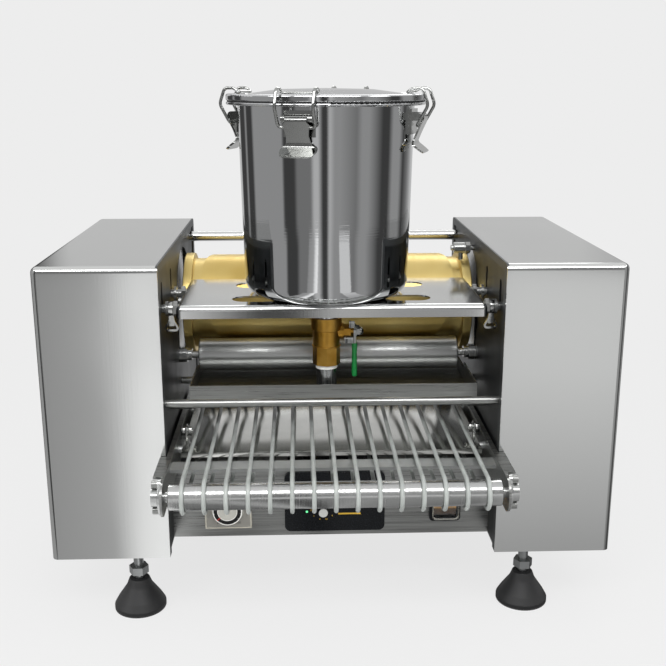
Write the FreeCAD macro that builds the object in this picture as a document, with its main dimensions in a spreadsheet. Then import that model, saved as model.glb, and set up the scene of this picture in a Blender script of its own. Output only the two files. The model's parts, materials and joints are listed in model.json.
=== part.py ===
import FreeCAD, Part
import math
import os
import re

import Sketcher

# Crepe sheet machine: a heated drum takes up batter from a tray, bakes it and drops the sheets
# on a conveyor of round belts. Millimetres, +Z up, front towards -Y, origin on the floor under
# the middle of the machine. Places named y are behind the housing's front, places named z are
# above its underside.

SIZES = {
    # Housing
    "total_width": 550, "bay_width": 320, "box_depth": 320, "box_height": 290,
    "foot_height": 70, "overhang": 77.5, "cover_wall": 1.5, "cover_radius": 6, "cover_lip": 12, "lip_top": 8,
    "plate_wall": 3, "floor_wall": 2, "seat_gap": 0.3, "pan_front": 47, "pan_back": 300,
    "pan_height": 70, "crossbar_radius": 6, "crossbar_y": 291, "crossbar_z": 272,
    "tie_radius": 4, "tie_y": 18, "tie_z": 153,
    # Drum and its drive
    "drum_y": 205, "drum_z": 210, "drum_half": 157, "drum_bore": 46, "ground_radius": 50,
    "disc_radius": 54, "rim_radius": 56, "rim_width": 10, "disc_half": 137, "disc_tilt": 42,
    "opening_radius": 63, "drum_shaft": 12.5, "heater_bore": 7, "cap_wall": 6, "hub_radius": 22,
    "bridge_wall": 6, "bridge_half": 30, "bridge_reach": 80, "bearing_wall": 12,
    "gear_module": 2, "drum_teeth": 56, "feed_teeth": 18, "gear_start": 186, "gear_width": 8,
    "drum_sprocket": 36, "motor_sprocket": 18, "drive_chain_x": 210, "sprocket_width": 6,
    "chain_height": 5, "chain_gap": 0.4, "motor_y": 200, "motor_z": 110, "run_gap": 0.05,
    "feed_radius": 17.5, "feed_half": 139.5, "feed_shaft": 4, "feed_sprocket": 15,
    "belt_chain_x": 198, "boss_radius": 8.5, "boss_length": 9, "boss_step": 5, "feed_angle": 216.7,
    # Batter tray
    "tray_half": 145, "tray_x": 3, "tray_front": 60, "tray_back": 174, "tray_floor": 136, "tray_wall": 1.5,
    "tray_top": 157, "tray_rear_top": 152, "pin_radius": 4,
    # Conveyor
    "roller_radius": 12.2, "roller_half": 150, "roller_shaft": 5, "conveyor_front": -61,
    "conveyor_back": 215, "conveyor_z": 92, "belt_radius": 2, "belt_turn": 14.5,
    "belt_count": 15, "belt_pitch": 19.6, "arm_inner": 154, "arm_wall": 2, "arm_low": 79,
    "arm_top": 105, "arm_nose": 16, "arm_flange": 11, "flange_start": -50, "brace_y": -8, "brace_depth": 20,
    "brace_z": 97, "brace_wall": 3, "bed_half": 132, "bed_front": 27, "bed_back": 195,
    "bed_wall": 2, "bed_z": 97, "rear_sprocket": 11, "bearing_plate": 3, "bearing_cap": 8.6,
    "cap_end": 165, "bearing_bolt": 3.6, "bolt_reach": 12.6,
    # Control panel
    "panel_y": 45, "panel_wall": 1.5, "panel_height": 72, "panel_flange": 10,
    "thermostat_x": -105.5, "thermostat_z": 34, "thermostat_side": 48, "bezel_wall": 4,
    "dial_radius": 17, "dial_length": 11, "speed_x": 3, "speed_z": 38, "speed_width": 102,
    "speed_height": 64, "knob_x": -9, "knob_z": 31, "knob_radius": 7, "knob_length": 11,
    "rocker_x": 116, "rocker_z": 29, "rocker_width": 32, "rocker_height": 28,
    # Shelf, bucket and valve
    "shelf_half": 147, "shelf_front": 16, "shelf_back": 143, "shelf_z": 249, "shelf_wall": 1.5,
    "shelf_drop": 12, "shelf_radius": 5, "slot_y_front": 47, "slot_y_back": 111,
    "slot_inner": 52, "slot_outer": 96, "slot_radius": 12.5, "outlet_hole": 24,
    "post_front": 34, "post_back": 102, "post_z": 243, "post_radius": 4, "shelf_lift": 22,
    "bucket_x": -4, "bucket_y": 83, "bucket_low": 80.5, "bucket_high": 84.5, "bucket_wall": 1.2,
    "bucket_round": 15, "bucket_rim_z": 430.8, "rim_out": 95.3, "rim_height": 3,
    "gasket_height": 1.2, "lid_height": 6, "dome_height": 5, "spigot_radius": 13,
    "collar_radius": 15.6, "collar_z": 210, "collar_height": 12, "barrel_radius": 14,
    "octagon_radius": 14, "octagon_z": 173, "octagon_height": 19, "nozzle_radius": 10.6, "nozzle_z": 142,
    "stem_z": 207, "stem_x": 28.5, "lever_length": 40,
    # Latches
    "latch_turn": 162.3, "hinge_out": 92, "hinge_z": 420.5, "hinge_pin": 1.5, "barrel_out": 3.5,
    "barrel_half": 10, "bail_out": 91.8, "bail_z": 413, "wire_radius": 1.5, "bail_half": 17.4,
    "bail_in": 82, "bail_bend": 4, "knee_out": 102, "knee_z": 431, "hook_out": 96.5, "hook_rise": 5,
    "latch_top": 98, "latch_out": 87.6, "latch_z": 396.5, "tab_out": 98, "tab_z": 388.5,
    "latch_wall": 1.8, "latch_half": 12.2, "waist_half": 10.2, "tab_half": 16.4,
    # Clamp levers, probe and feet
    "clamp_x": 153.2, "clamp_length": 22, "clamp_half": 6.6, "clamp_neck": 3, "clamp_eye": 7, "clamp_rail": 2,
    "probe_y": 180, "probe_z": 275, "probe_x": 136, "foot_x": 197, "foot_front": 32,
    "foot_back": 288, "stud_radius": 5, "pad_radius": 26, "pad_height": 33, "stud_top": 24,
}

doc = FreeCAD.newDocument("crepe_machine")
dims = doc.addObject("Spreadsheet::Sheet", "dims")
for row, (alias, number) in enumerate(SIZES.items(), start=1):
    dims.set(f"A{row}", alias)
    dims.set(f"B{row}", str(number))
    dims.setAlias(f"B{row}", alias)
doc.recompute()

ALIAS = re.compile(r"\b(" + "|".join(SIZES) + r")\b")
TURNS = {
    "x": FreeCAD.Rotation(FreeCAD.Vector(0, 1, 0), 90),
    "y": FreeCAD.Rotation(FreeCAD.Vector(1, 0, 0), -90),
    "z": FreeCAD.Rotation(),
}
SIDES = (("left", -1), ("right", 1))
nodes = []


# Values and bindings
def size(text):
    return float(dims.evalExpression(str(text)))


def bind(thing, prop, text):
    thing.setExpression(prop, ALIAS.sub(r"dims.\1", str(text)))


def behind(text):
    return f"((overhang - box_depth)/2 + {text})"


def above(text):
    return f"(foot_height + {text})"


def span(side, low, high):
    return (low, high) if side > 0 else (f"-({high})", f"-({low})")


def node(thing):
    nodes.append(thing)
    return thing


# Primitives and booleans
def block(name, xs, ys, zs):
    thing = doc.addObject("Part::Box", name)
    for prop, axis, (low, high) in zip(("Length", "Width", "Height"), "xyz", (xs, ys, zs)):
        bind(thing, prop, f"({high}) - ({low})")
        bind(thing, f"Placement.Base.{axis}", low)
    return thing


def along(thing, axis, reach, at):
    low, high = reach
    thing.Placement = FreeCAD.Placement(FreeCAD.Vector(), TURNS[axis])
    bind(thing, "Height", f"({high}) - ({low})")
    places = list(at)
    places.insert("xyz".index(axis), low)
    for letter, text in zip("xyz", places):
        bind(thing, f"Placement.Base.{letter}", text)
    return thing


def rod(name, radius, axis, reach, at):
    thing = doc.addObject("Part::Cylinder", name)
    bind(thing, "Radius", radius)
    return along(thing, axis, reach, at)


def prism(name, corners, radius, axis, reach, at):
    thing = doc.addObject("Part::Prism", name)
    thing.Polygon = corners
    bind(thing, "Circumradius", radius)
    return along(thing, axis, reach, at)


def hexagon(name, flats, axis, reach, at):
    return prism(name, 6, f"({flats})/sqrt(3)", axis, reach, at)


def fuse(name, *things):
    thing = doc.addObject("Part::MultiFuse", name)
    thing.Shapes = list(things)
    return thing


def cut(name, base, *tools):
    thing = doc.addObject("Part::Cut", name)
    thing.Base = base
    thing.Tool = tools[0] if len(tools) == 1 else fuse(name + "_tools", *tools)
    return thing


def common(name, base, tool):
    thing = doc.addObject("Part::Common", name)
    thing.Base = base
    thing.Tool = tool
    return thing


def group(name, *things):
    thing = doc.addObject("Part::Compound", name)
    thing.Links = list(things)
    return thing


def rounded(name, base, radius, wanted):
    doc.recompute()
    thing = doc.addObject("Part::Fillet", name)
    thing.Base = base
    picked = [i for i, edge in enumerate(base.Shape.Edges, start=1) if wanted(edge.CenterOfMass)]
    thing.Edges = [(i, size(radius), size(radius)) for i in picked]
    return thing


def feature(name, shape):
    thing = doc.addObject("Part::Feature", name)
    thing.Shape = shape
    return thing


# Sketched bodies
def body(name):
    return doc.addObject("PartDesign::Body", name)


def sketch(owner, role, offset="0"):
    made = owner.newObject("Sketcher::SketchObject", owner.Name + "_sketch")
    plane = next(item for item in owner.Origin.OriginFeatures if item.Role == role)
    made.AttachmentSupport = [(plane, "")]
    made.MapMode = "FlatFace"
    bind(made, "AttachmentOffset.Base.z", offset)
    return made


def pin(drawing, item, point, x, y):
    for kind, text, axis in (("DistanceX", x, -2), ("DistanceY", y, -1)):
        if abs(size(text)) < 1e-6:
            drawing.addConstraint(Sketcher.Constraint("PointOnObject", item, point, axis))
        else:
            made = drawing.addConstraint(Sketcher.Constraint(kind, -1, 1, item, point, size(text)))
            bind(drawing, f"Constraints[{made}]", text)


def polygon(drawing, points):
    corners = [FreeCAD.Vector(size(x), size(y), 0) for x, y in points]
    first = drawing.GeometryCount
    count = len(corners)
    for i in range(count):
        drawing.addGeometry(Part.LineSegment(corners[i], corners[(i + 1) % count]), False)
    for i in range(count):
        follower = first + (i + 1) % count
        drawing.addConstraint(Sketcher.Constraint("Coincident", first + i, 2, follower, 1))
        pin(drawing, first + i, 1, *points[i])


def rectangle(drawing, xs, ys):
    polygon(drawing, ((xs[0], ys[0]), (xs[1], ys[0]), (xs[1], ys[1]), (xs[0], ys[1])))


def circle(drawing, x, y, radius):
    centre = FreeCAD.Vector(size(x), size(y), 0)
    item = drawing.addGeometry(Part.Circle(centre, FreeCAD.Vector(0, 0, 1), size(radius)), False)
    pin(drawing, item, 3, x, y)
    made = drawing.addConstraint(Sketcher.Constraint("Radius", item, size(radius)))
    bind(drawing, f"Constraints[{made}]", radius)


# A closed outline whose corners are (x, y) or (x, y, radius).
def outline(drawing, points):
    corners = [tuple(size(part) for part in point) for point in points]
    for edge in rounded_edges(corners):
        drawing.addGeometry(edge, False)


def rounded_edges(corners, closed=True):
    count = len(corners)
    ends = []
    for i, corner in enumerate(corners):
        here = FreeCAD.Vector(*corner[:2], 0) if len(corner) < 4 else FreeCAD.Vector(*corner[:3])
        radius = corner[-1] if len(corner) in (3, 4) else 0
        open_end = not closed and i in (0, count - 1)
        if open_end or radius < 1e-6:
            ends.append((here, None, here))
            continue
        before, after = corners[i - 1], corners[(i + 1) % count]
        wide = 3 if len(corner) == 4 else 2
        back = (FreeCAD.Vector(*before[:wide]) - here).normalize()
        ahead = (FreeCAD.Vector(*after[:wide]) - here).normalize()
        half = back.getAngle(ahead) / 2
        middle = (back + ahead).normalize()
        reach = radius / math.tan(half)
        summit = here + middle * (radius / math.sin(half) - radius)
        ends.append((here + back * reach, summit, here + ahead * reach))
    edges = []
    for i in range(count):
        start, summit, finish = ends[i]
        if summit is not None:
            edges.append(Part.Arc(start, summit, finish))
        if closed or i < count - 1:
            following = ends[(i + 1) % count][0]
            if finish.distanceToPoint(following) > 1e-6:
                edges.append(Part.LineSegment(finish, following))
    return edges


def slot(drawing, low, high, radius):
    (x0, y0), (x1, y1) = ((size(x), size(y)) for x, y in (low, high))
    wide = size(radius)
    run = FreeCAD.Vector(x1 - x0, y1 - y0, 0).normalize()
    across = FreeCAD.Vector(-run.y, run.x, 0) * wide
    start, finish = FreeCAD.Vector(x0, y0, 0), FreeCAD.Vector(x1, y1, 0)
    drawing.addGeometry(Part.LineSegment(start - across, finish - across), False)
    drawing.addGeometry(Part.Arc(finish - across, finish + run * wide, finish + across), False)
    drawing.addGeometry(Part.LineSegment(finish + across, start + across), False)
    drawing.addGeometry(Part.Arc(start + across, start - run * wide, start - across), False)


def pad(owner, profile, length):
    made = owner.newObject("PartDesign::Pad", owner.Name + "_pad")
    made.Profile = profile
    bind(made, "Length", length)
    return owner


def turned(name, role, points, axis):
    owner = body(name)
    profile = sketch(owner, role)
    outline(profile, points)
    made = owner.newObject("PartDesign::Revolution", name + "_turn")
    made.Profile = profile
    made.ReferenceAxis = (profile, [axis])
    made.Angle = 360
    return owner


def put(thing, x, y, z, turn=0):
    thing.Placement = FreeCAD.Placement(FreeCAD.Vector(), FreeCAD.Rotation(FreeCAD.Vector(0, 0, 1), turn))
    for letter, text in zip("xyz", (x, y, z)):
        bind(thing, f"Placement.Base.{letter}", text)
    return thing


def piped(points, radius, closed=False):
    edges = [edge.toShape() for edge in rounded_edges(points, closed)]
    path = Part.Wire(edges)
    start = edges[0].valueAt(edges[0].FirstParameter)
    heading = edges[0].tangentAt(edges[0].FirstParameter)
    ring = Part.Wire(Part.makeCircle(radius, start, heading))
    return path.makePipeShell([ring], True, False)


# Housing: two folded covers, their side plates and floors, and the pan between them
PLATE_IN = "bay_width/2 + cover_wall"
PLATE_OUT = "bay_width/2 + cover_wall + plate_wall"
BOX_INSIDE = (behind("cover_wall + seat_gap"), behind("box_depth - cover_wall - seat_gap"))
DRUM_AT = (behind("drum_y"), above("drum_z"))
GEAR_REACH = "(drum_teeth + feed_teeth)*gear_module/2"
FEED_AT = (
    behind(f"drum_y + {GEAR_REACH}*cos(feed_angle)"),
    above(f"drum_z + {GEAR_REACH}*sin(feed_angle)"),
)
REAR_AT = (behind("conveyor_back"), above("conveyor_z"))
NOSE_AT = (behind("conveyor_front"), above("conveyor_z"))
MOTOR_AT = (behind("motor_y"), above("motor_z"))


def cover(side_name, side):
    name = side_name + "_cover"
    outer = block(
        name + "_outer",
        span(side, "bay_width/2", "total_width/2"),
        (behind("0"), behind("box_depth")),
        (above("0"), above("box_height")),
    )
    hollow = block(
        name + "_hollow",
        span(side, PLATE_IN, "total_width/2 - cover_wall"),
        (behind("cover_wall"), behind("box_depth - cover_wall")),
        (above("-cover_radius"), above("box_height - cover_wall")),
    )
    mouth = block(
        name + "_mouth",
        span(side, "bay_width/2 - 1", PLATE_OUT),
        (behind("cover_lip"), behind("box_depth - cover_lip")),
        (above("-cover_radius"), above("box_height - lip_top")),
    )

    def folds(inner_x, low_z):
        return lambda at: abs(at.x - side * inner_x) > 0.1 and abs(at.z - low_z) > 0.1

    shell = rounded(name + "_shell", outer, "cover_radius", folds(size("bay_width/2"), size("foot_height")))
    low = size("foot_height - cover_radius")
    bay = rounded(name + "_bay", hollow, "cover_radius - cover_wall", folds(size(PLATE_IN), low))
    return node(cut(name, shell, bay, mouth))


def side_plate(side_name, side):
    owner = body(side_name + "_side_plate")
    drawing = sketch(owner, "YZ_Plane", span(side, PLATE_IN, PLATE_OUT)[0])
    front, back = BOX_INSIDE
    low, top = above("floor_wall"), above("box_height - cover_wall - seat_gap")
    outline(drawing, ((front, low), (back, low), (back, top, "cover_radius"), (front, top, "cover_radius")))
    circle(drawing, *DRUM_AT, "opening_radius")
    circle(drawing, *FEED_AT, "feed_shaft + seat_gap")
    circle(drawing, *REAR_AT, "roller_shaft + seat_gap")
    for post in ("post_front", "post_back"):
        ends = ((behind(post), above("post_z")), (behind(post), above("post_z + shelf_lift")))
        slot(drawing, *ends, "post_radius + seat_gap")
    return node(pad(owner, drawing, "plate_wall"))


def floor_plates():
    plates = []
    for side_name, side in SIDES:
        name = side_name + "_floor"
        reach = span(side, PLATE_IN, "total_width/2 - cover_wall - seat_gap")
        plain = block(name, reach, BOX_INSIDE, (above("0"), above("floor_wall")))
        middle = side * size("(bay_width + total_width)/4")
        trimmed = rounded(
            name + "_trimmed", plain, "cover_radius",
            lambda at: side * (at.x - middle) > 40 and abs(at.z - size(above("floor_wall/2"))) < 0.1
            and abs(at.y - size(behind("box_depth/2"))) > 100,
        )
        holes = [
            rod(f"{name}_{place}", "stud_radius + seat_gap", "z", (above("-1"), above("floor_wall + 1")),
                (f"{side}*foot_x", behind(place)))
            for place in ("foot_front", "foot_back")
        ]
        plates.append(cut(name + "_plate", trimmed, *holes))
    node(group("floor_plates", *plates, centre_pan()))


def centre_pan():
    wide = (f"-({PLATE_IN})", PLATE_IN)
    floor = block("pan_floor", wide, (behind("pan_front"), behind("pan_back")),
                  (above("0"), above("floor_wall")))
    wall = block("pan_wall", wide, (behind("pan_back - floor_wall"), behind("pan_back")),
                 (above("0"), above("pan_height")))
    return fuse("centre_pan", floor, wall)


def cross_rods():
    wide = (f"-({PLATE_IN})", PLATE_IN)
    node(rod("rear_crossbar", "crossbar_radius", "x", wide, (behind("crossbar_y"), above("crossbar_z"))))
    node(rod("front_tie_rod", "tie_radius", "x", wide, (behind("tie_y"), above("tie_z"))))


# Outlines shared by bearings, chains and wheels
def hull(drawing, first, first_radius, second, second_radius):
    run = second - first
    heading = math.atan2(run.y, run.x)
    lean = math.acos((first_radius - second_radius) / run.Length)

    def on(centre, radius, angle):
        return centre + FreeCAD.Vector(math.cos(angle), math.sin(angle), 0) * radius

    low, high = heading - lean, heading + lean
    drawing.addGeometry(Part.LineSegment(on(first, first_radius, low), on(second, second_radius, low)), False)
    drawing.addGeometry(
        Part.Arc(on(second, second_radius, low), on(second, second_radius, heading),
                 on(second, second_radius, high)), False)
    upper = Part.LineSegment(on(second, second_radius, high), on(first, first_radius, high))
    drawing.addGeometry(upper, False)
    drawing.addGeometry(
        Part.Arc(on(first, first_radius, high), on(first, first_radius, heading + math.pi),
                 on(first, first_radius, low)), False)


def place2(at):
    return FreeCAD.Vector(size(at[0]), size(at[1]), 0)


# A two-bolt flange: a round middle with an ear above and one below, standing on the YZ plane.
def flange_bearing(name, at, start, wall, radius, ear, reach, bore):
    owner = body(name)
    drawing = sketch(owner, "YZ_Plane", start)
    middle = place2(at)
    lean = math.asin((radius - ear) / reach)
    spokes = []
    for turn, far in ((lean, 1), (math.pi - lean, 1), (math.pi + lean, -1), (-lean, -1)):
        heading = FreeCAD.Vector(math.cos(turn), math.sin(turn), 0)
        spokes.append((middle + heading * radius, middle + FreeCAD.Vector(0, far * reach, 0) + heading * ear))
    tips = [middle + FreeCAD.Vector(0, far * (reach + ear), 0) for far in (1, -1)]
    flanks = [middle + FreeCAD.Vector(far * radius, 0, 0) for far in (-1, 1)]
    for inner, outer in spokes:
        drawing.addGeometry(Part.LineSegment(inner, outer), False)
    drawing.addGeometry(Part.Arc(spokes[0][1], tips[0], spokes[1][1]), False)
    drawing.addGeometry(Part.Arc(spokes[1][0], flanks[0], spokes[2][0]), False)
    drawing.addGeometry(Part.Arc(spokes[2][1], tips[1], spokes[3][1]), False)
    drawing.addGeometry(Part.Arc(spokes[3][0], flanks[1], spokes[0][0]), False)
    circle(drawing, *at, bore)
    return pad(owner, drawing, wall)


def chain(name, start, first, first_radius, second, second_radius):
    owner = body(name)
    drawing = sketch(owner, "YZ_Plane", start)
    for grow in ("chain_gap", "chain_gap + chain_height"):
        hull(drawing, place2(first), size(f"{first_radius} + {grow}"),
             place2(second), size(f"{second_radius} + {grow}"))
    return pad(owner, drawing, "sprocket_width")


def wheel(name, start, width, at, points, bore):
    middle = FreeCAD.Vector(size(start), size(at[0]), size(at[1]))
    rim = [middle + FreeCAD.Vector(0, far * math.cos(turn), far * math.sin(turn)) for far, turn in points]
    side = Part.Face(Part.makePolygon(rim + rim[:1]))
    solid = side.extrude(FreeCAD.Vector(size(width), 0, 0))
    hole = Part.makeCylinder(size(bore), size(width), middle, FreeCAD.Vector(1, 0, 0))
    return feature(name, solid.cut(hole))


# Involute teeth: half the tooth's angle at a radius comes from the involute of the base circle.
def gear_points(teeth, turn, backlash=0.15, pressure=math.radians(20), steps=4):
    module = size("gear_module")
    pitch = teeth * module / 2
    base = pitch * math.cos(pressure)
    root, tip = pitch - 1.25 * module, pitch + module

    def half_angle(far):
        lean = math.acos(min(1, base / far))
        spread = math.tan(pressure) - pressure - (math.tan(lean) - lean)
        return math.pi / (2 * teeth) - backlash / (2 * pitch) + spread

    start = max(base, root)
    flank = [start + (tip - start) * i / steps for i in range(steps + 1)]
    points = []
    for i in range(teeth):
        middle = turn + 2 * math.pi * i / teeth
        points.append((root, middle - half_angle(start)))
        points.extend((far, middle - half_angle(far)) for far in flank)
        points.extend((far, middle + half_angle(far)) for far in reversed(flank))
        points.append((root, middle + half_angle(start)))
    return points


def sprocket_points(tip, pitch=6.35, depth=2.5):
    teeth = int(2 * math.pi * tip / pitch)
    points = []
    for i in range(teeth):
        for far, share in ((tip - depth, -0.35), (tip, -0.12), (tip, 0.12), (tip - depth, 0.35)):
            points.append((far, 2 * math.pi * (i + share) / teeth))
    return points


# Drum: tube with end rims and a raised disc wrapped round it, closed by two caps with stub shafts
def wrapped_disc():
    inner, outer, half = size("ground_radius"), size("disc_radius"), size("disc_half")
    tilt = math.radians(180 - size("disc_tilt"))

    def rim(radius, count=72):
        points = []
        for i in range(count):
            turn = 2 * math.pi * i / count
            round_drum = tilt + half * math.cos(turn) / outer
            points.append(FreeCAD.Vector(half * math.sin(turn), radius * math.cos(round_drum),
                                         radius * math.sin(round_drum)))
        curve = Part.BSplineCurve()
        curve.interpolate(points, PeriodicFlag=True)
        return curve.toShape()

    wall = Part.makeRuledSurface(rim(inner - 3), rim(outer + 3))
    start, axis = FreeCAD.Vector(-half - 2, 0, 0), FreeCAD.Vector(1, 0, 0)
    ring = Part.makeCylinder(outer, 2 * half + 4, start, axis)
    ring = ring.cut(Part.makeCylinder(inner, 2 * half + 4, start, axis))
    pieces, _ = ring.generalFuse([wall])
    centre = FreeCAD.Vector(0, math.cos(tilt), math.sin(tilt)) * ((inner + outer) / 2)
    return next(solid for solid in pieces.Solids if solid.isInside(centre, 0.01, True))


def drum():
    inside = "drum_half - rim_width"
    tube = turned("drum_tube", "XZ_Plane", (
        ("-drum_half", "drum_bore"), ("-drum_half", "rim_radius", 1), (f"-({inside})", "rim_radius", 1),
        (f"-({inside})", "ground_radius"), (inside, "ground_radius"), (inside, "rim_radius", 1),
        ("drum_half", "rim_radius", 1), ("drum_half", "drum_bore"),
    ), "H_Axis")
    disc = feature("drum_disc", wrapped_disc())
    node(put(fuse("drum_shell", tube, disc), 0, *DRUM_AT))
    ends = []
    for name, end, hollow in (("drum_end_left", "185", "heater_bore"), ("drum_end_right", "218", "0")):
        side = -1 if "left" in name else 1
        face, back, fit = "drum_half - 8", "drum_half - 8 + cap_wall", "drum_bore - run_gap"
        profile = [
            (face, hollow), (face, fit), (back, fit), (back, "hub_radius"), (f"{back} + 4", "hub_radius"),
            (f"{back} + 4", "drum_shaft"), (end, "drum_shaft"), (end, hollow),
        ]
        points = [(f"{side}*({x})", radius) for x, radius in profile]
        ends.append(turned(name, "XZ_Plane", points, "H_Axis"))
    node(put(group("drum_ends", *ends), 0, *DRUM_AT))
    turn = math.radians(size("feed_angle"))
    gear = wheel("drum_gear", "gear_start", "gear_width", DRUM_AT,
                 gear_points(int(size("drum_teeth")), turn), "drum_shaft")
    toothed = wheel("drum_chain_wheel", "drive_chain_x", "sprocket_width", DRUM_AT,
                    sprocket_points(size("drum_sprocket")), "drum_shaft")
    node(group("drum_wheels", gear, toothed))


def drum_bearings():
    pieces = []
    y, z = DRUM_AT
    for side_name, side in SIDES:
        reach = span(side, PLATE_OUT, f"{PLATE_OUT} + bridge_wall")
        bar = block(side_name + "_bar", reach, (f"{y} - bridge_half", f"{y} + bridge_half"),
                    (f"{z} - bridge_reach", f"{z} + bridge_reach - 10"))
        hole = rod(side_name + "_bar_hole", "drum_shaft + seat_gap", "x",
                   (f"{reach[0]} - 1", f"{reach[1]} + 1"), DRUM_AT)
        pieces.append(cut(side_name + "_bridge", bar, hole))
        outer = span(side, f"{PLATE_OUT} + bridge_wall", f"{PLATE_OUT} + bridge_wall + bearing_wall")[0]
        pieces.append(flange_bearing(side_name + "_drum_bearing", DRUM_AT, outer, "bearing_wall",
                                     24, 9, 34, "drum_shaft + run_gap"))
    return pieces


def drum_heater():
    y, z = DRUM_AT
    carrier = rod("heater_carrier", "heater_bore - 2", "x", ("-236", "120"), DRUM_AT)
    parts = [carrier]
    for place in ("-100", "100"):
        parts.append(rod("heater_spider", 36, "x", (f"{place} - 2", f"{place} + 2"), DRUM_AT))
    for turn in (90, 210, 330):
        at = (f"{y} + 28*cos({turn})", f"{z} + 28*sin({turn})")
        parts.append(rod("heater_rod", 5, "x", ("-125", "115"), at))
    element = fuse("heater_element", *parts)
    post = block("heater_post_block", ("-232", "-224"), (f"{y} - 12", f"{y} + 12"),
                 (above("floor_wall"), f"{z} + 14"))
    bore = rod("heater_post_bore", "heater_bore - 2", "x", ("-240", "-220"), DRUM_AT)
    node(group("drum_heater", element, cut("heater_post", post, bore)))


# Feed roller in the batter tray
def feed_roller():
    shaft_left, shaft_right = "-172", "206"
    roller = turned("feed_roller", "XZ_Plane", (
        (shaft_left, "0"), (shaft_left, "feed_shaft"), ("-feed_half", "feed_shaft"),
        ("-feed_half", "feed_radius", 1.5), ("feed_half", "feed_radius", 1.5), ("feed_half", "feed_shaft"),
        (shaft_right, "feed_shaft"), (shaft_right, "0"),
    ), "H_Axis")
    node(put(roller, 0, *FEED_AT))
    teeth = int(size("feed_teeth"))
    turn = math.radians(size("feed_angle")) + math.pi + math.pi / teeth
    gear = wheel("feed_gear", "gear_start", "gear_width", FEED_AT, gear_points(teeth, turn), "feed_shaft")
    toothed = wheel("feed_chain_wheel", "belt_chain_x", "sprocket_width", FEED_AT,
                    sprocket_points(size("feed_sprocket")), "feed_shaft")
    node(group("feed_wheels", gear, toothed))
    bosses = []
    for side_name, side in SIDES:
        reach = span(side, f"{PLATE_IN} - boss_length", PLATE_IN)
        longer = span(side, f"{PLATE_IN} - boss_length - boss_step", PLATE_IN)
        boss = fuse(side_name + "_boss", rod(side_name + "_boss_body", "boss_radius", "x", reach, FEED_AT),
                    rod(side_name + "_boss_collar", "boss_radius - 2", "x", longer, FEED_AT))
        bore = rod(side_name + "_boss_bore", "feed_shaft + run_gap", "x",
                   (f"{longer[0]} - 1", f"{longer[1]} + 1"), FEED_AT)
        bosses.append(cut(side_name + "_feed_boss", boss, bore))
    node(group("feed_bearings", *bosses))


def batter_tray():
    wide = ("tray_x - tray_half", "tray_x + tray_half")
    inside = ("tray_x - tray_half + tray_wall", "tray_x + tray_half - tray_wall")
    outer = block("tray_outer", wide, (behind("tray_front"), behind("tray_back")),
                  (above("tray_floor"), above("tray_top")))
    hollow = block("tray_hollow", inside, (behind("tray_front + tray_wall"), behind("tray_back - tray_wall")),
                   (above("tray_floor + tray_wall"), above("tray_top + 1")))
    rear = block("tray_rear_cut", ("tray_x - tray_half - 1", "tray_x + tray_half + 1"),
                 (behind("tray_back - 40"), behind("tray_back + 1")),
                 (above("tray_rear_top"), above("tray_top + 1")))
    node(cut("batter_tray", outer, hollow, rear))


def tray_pins():
    pins = []
    for side_name, side in SIDES:
        for place in ("tray_front + 15", "tray_back - 14"):
            at = (behind(place), above("tray_floor - pin_radius"))
            reach = span(side, "tray_half - 4", PLATE_IN)
            pins.append(rod(side_name + "_tray_pin", "pin_radius", "x", reach, at))
    return pins


# Gear motor on a bench in the right housing, with its chains
def drive():
    y, z = MOTOR_AT
    case = block("gearbox_case", ("222", "262"), (f"{y} - 25", f"{y} + 25"), (f"{z} - 25", f"{z} + 25"))
    soft = rounded("gearbox_soft", case, 4, lambda at: abs(at.x - 242) > 15)
    can = rod("motor_can", 25, "y", (f"{y} - 125", f"{y} - 25"), ("242", f"{z} + 3"))
    tail = rod("motor_tail", 20, "y", (f"{y} - 131", f"{y} - 125"), ("242", f"{z} + 3"))
    bore = rod("gearbox_bore", "6 + run_gap", "x", ("221", "242"), MOTOR_AT)
    node(cut("gear_motor", fuse("motor_body", soft, can, tail), bore))
    bench = (f"{y} - 25", f"{y} + 25")
    top = block("bench_top", ("216", "268"), bench, (f"{z} - 27", f"{z} - 25"))
    legs = [
        block("bench_leg", (low, f"{low} + 2"), bench, (above("floor_wall"), f"{z} - 26"))
        for low in ("216", "266")
    ]
    node(fuse("motor_bench", top, *legs))
    shaft = rod("motor_shaft", 6, "x", ("205", "240"), MOTOR_AT)
    toothed = wheel("motor_chain_wheel", "drive_chain_x", "sprocket_width", MOTOR_AT,
                    sprocket_points(size("motor_sprocket")), 6)
    node(fuse("motor_wheel", shaft, toothed))
    node(group(
        "drive_chains",
        chain("drum_chain", "drive_chain_x", DRUM_AT, "drum_sprocket", MOTOR_AT, "motor_sprocket"),
        chain("belt_chain", "belt_chain_x", FEED_AT, "feed_sprocket", REAR_AT, "rear_sprocket"),
    ))


def control_blocks():
    relay = block("relay", ("-250", "-190"), (behind("60"), behind("105")),
                  (above("floor_wall"), above("30")))
    strip = block("terminal_strip", ("-255", "-185"), (behind("135"), behind("155")),
                  (above("floor_wall"), above("24")))
    grooves = [
        block("terminal_groove", (f"-250 + {10 * i}", f"-245 + {10 * i}"), (behind("134"), behind("143")),
              (above("14"), above("25")))
        for i in range(6)
    ]
    node(group("control_blocks", relay, cut("terminal_block", strip, *grooves)))


# Conveyor
def roller(name, left, right):
    return turned(name, "XZ_Plane", (
        (left, "0"), (left, "roller_shaft"), ("-roller_half", "roller_shaft"),
        ("-roller_half", "roller_radius", 1), ("roller_half", "roller_radius", 1),
        ("roller_half", "roller_shaft"),
        (right, "roller_shaft"), (right, "0"),
    ), "H_Axis")


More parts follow.
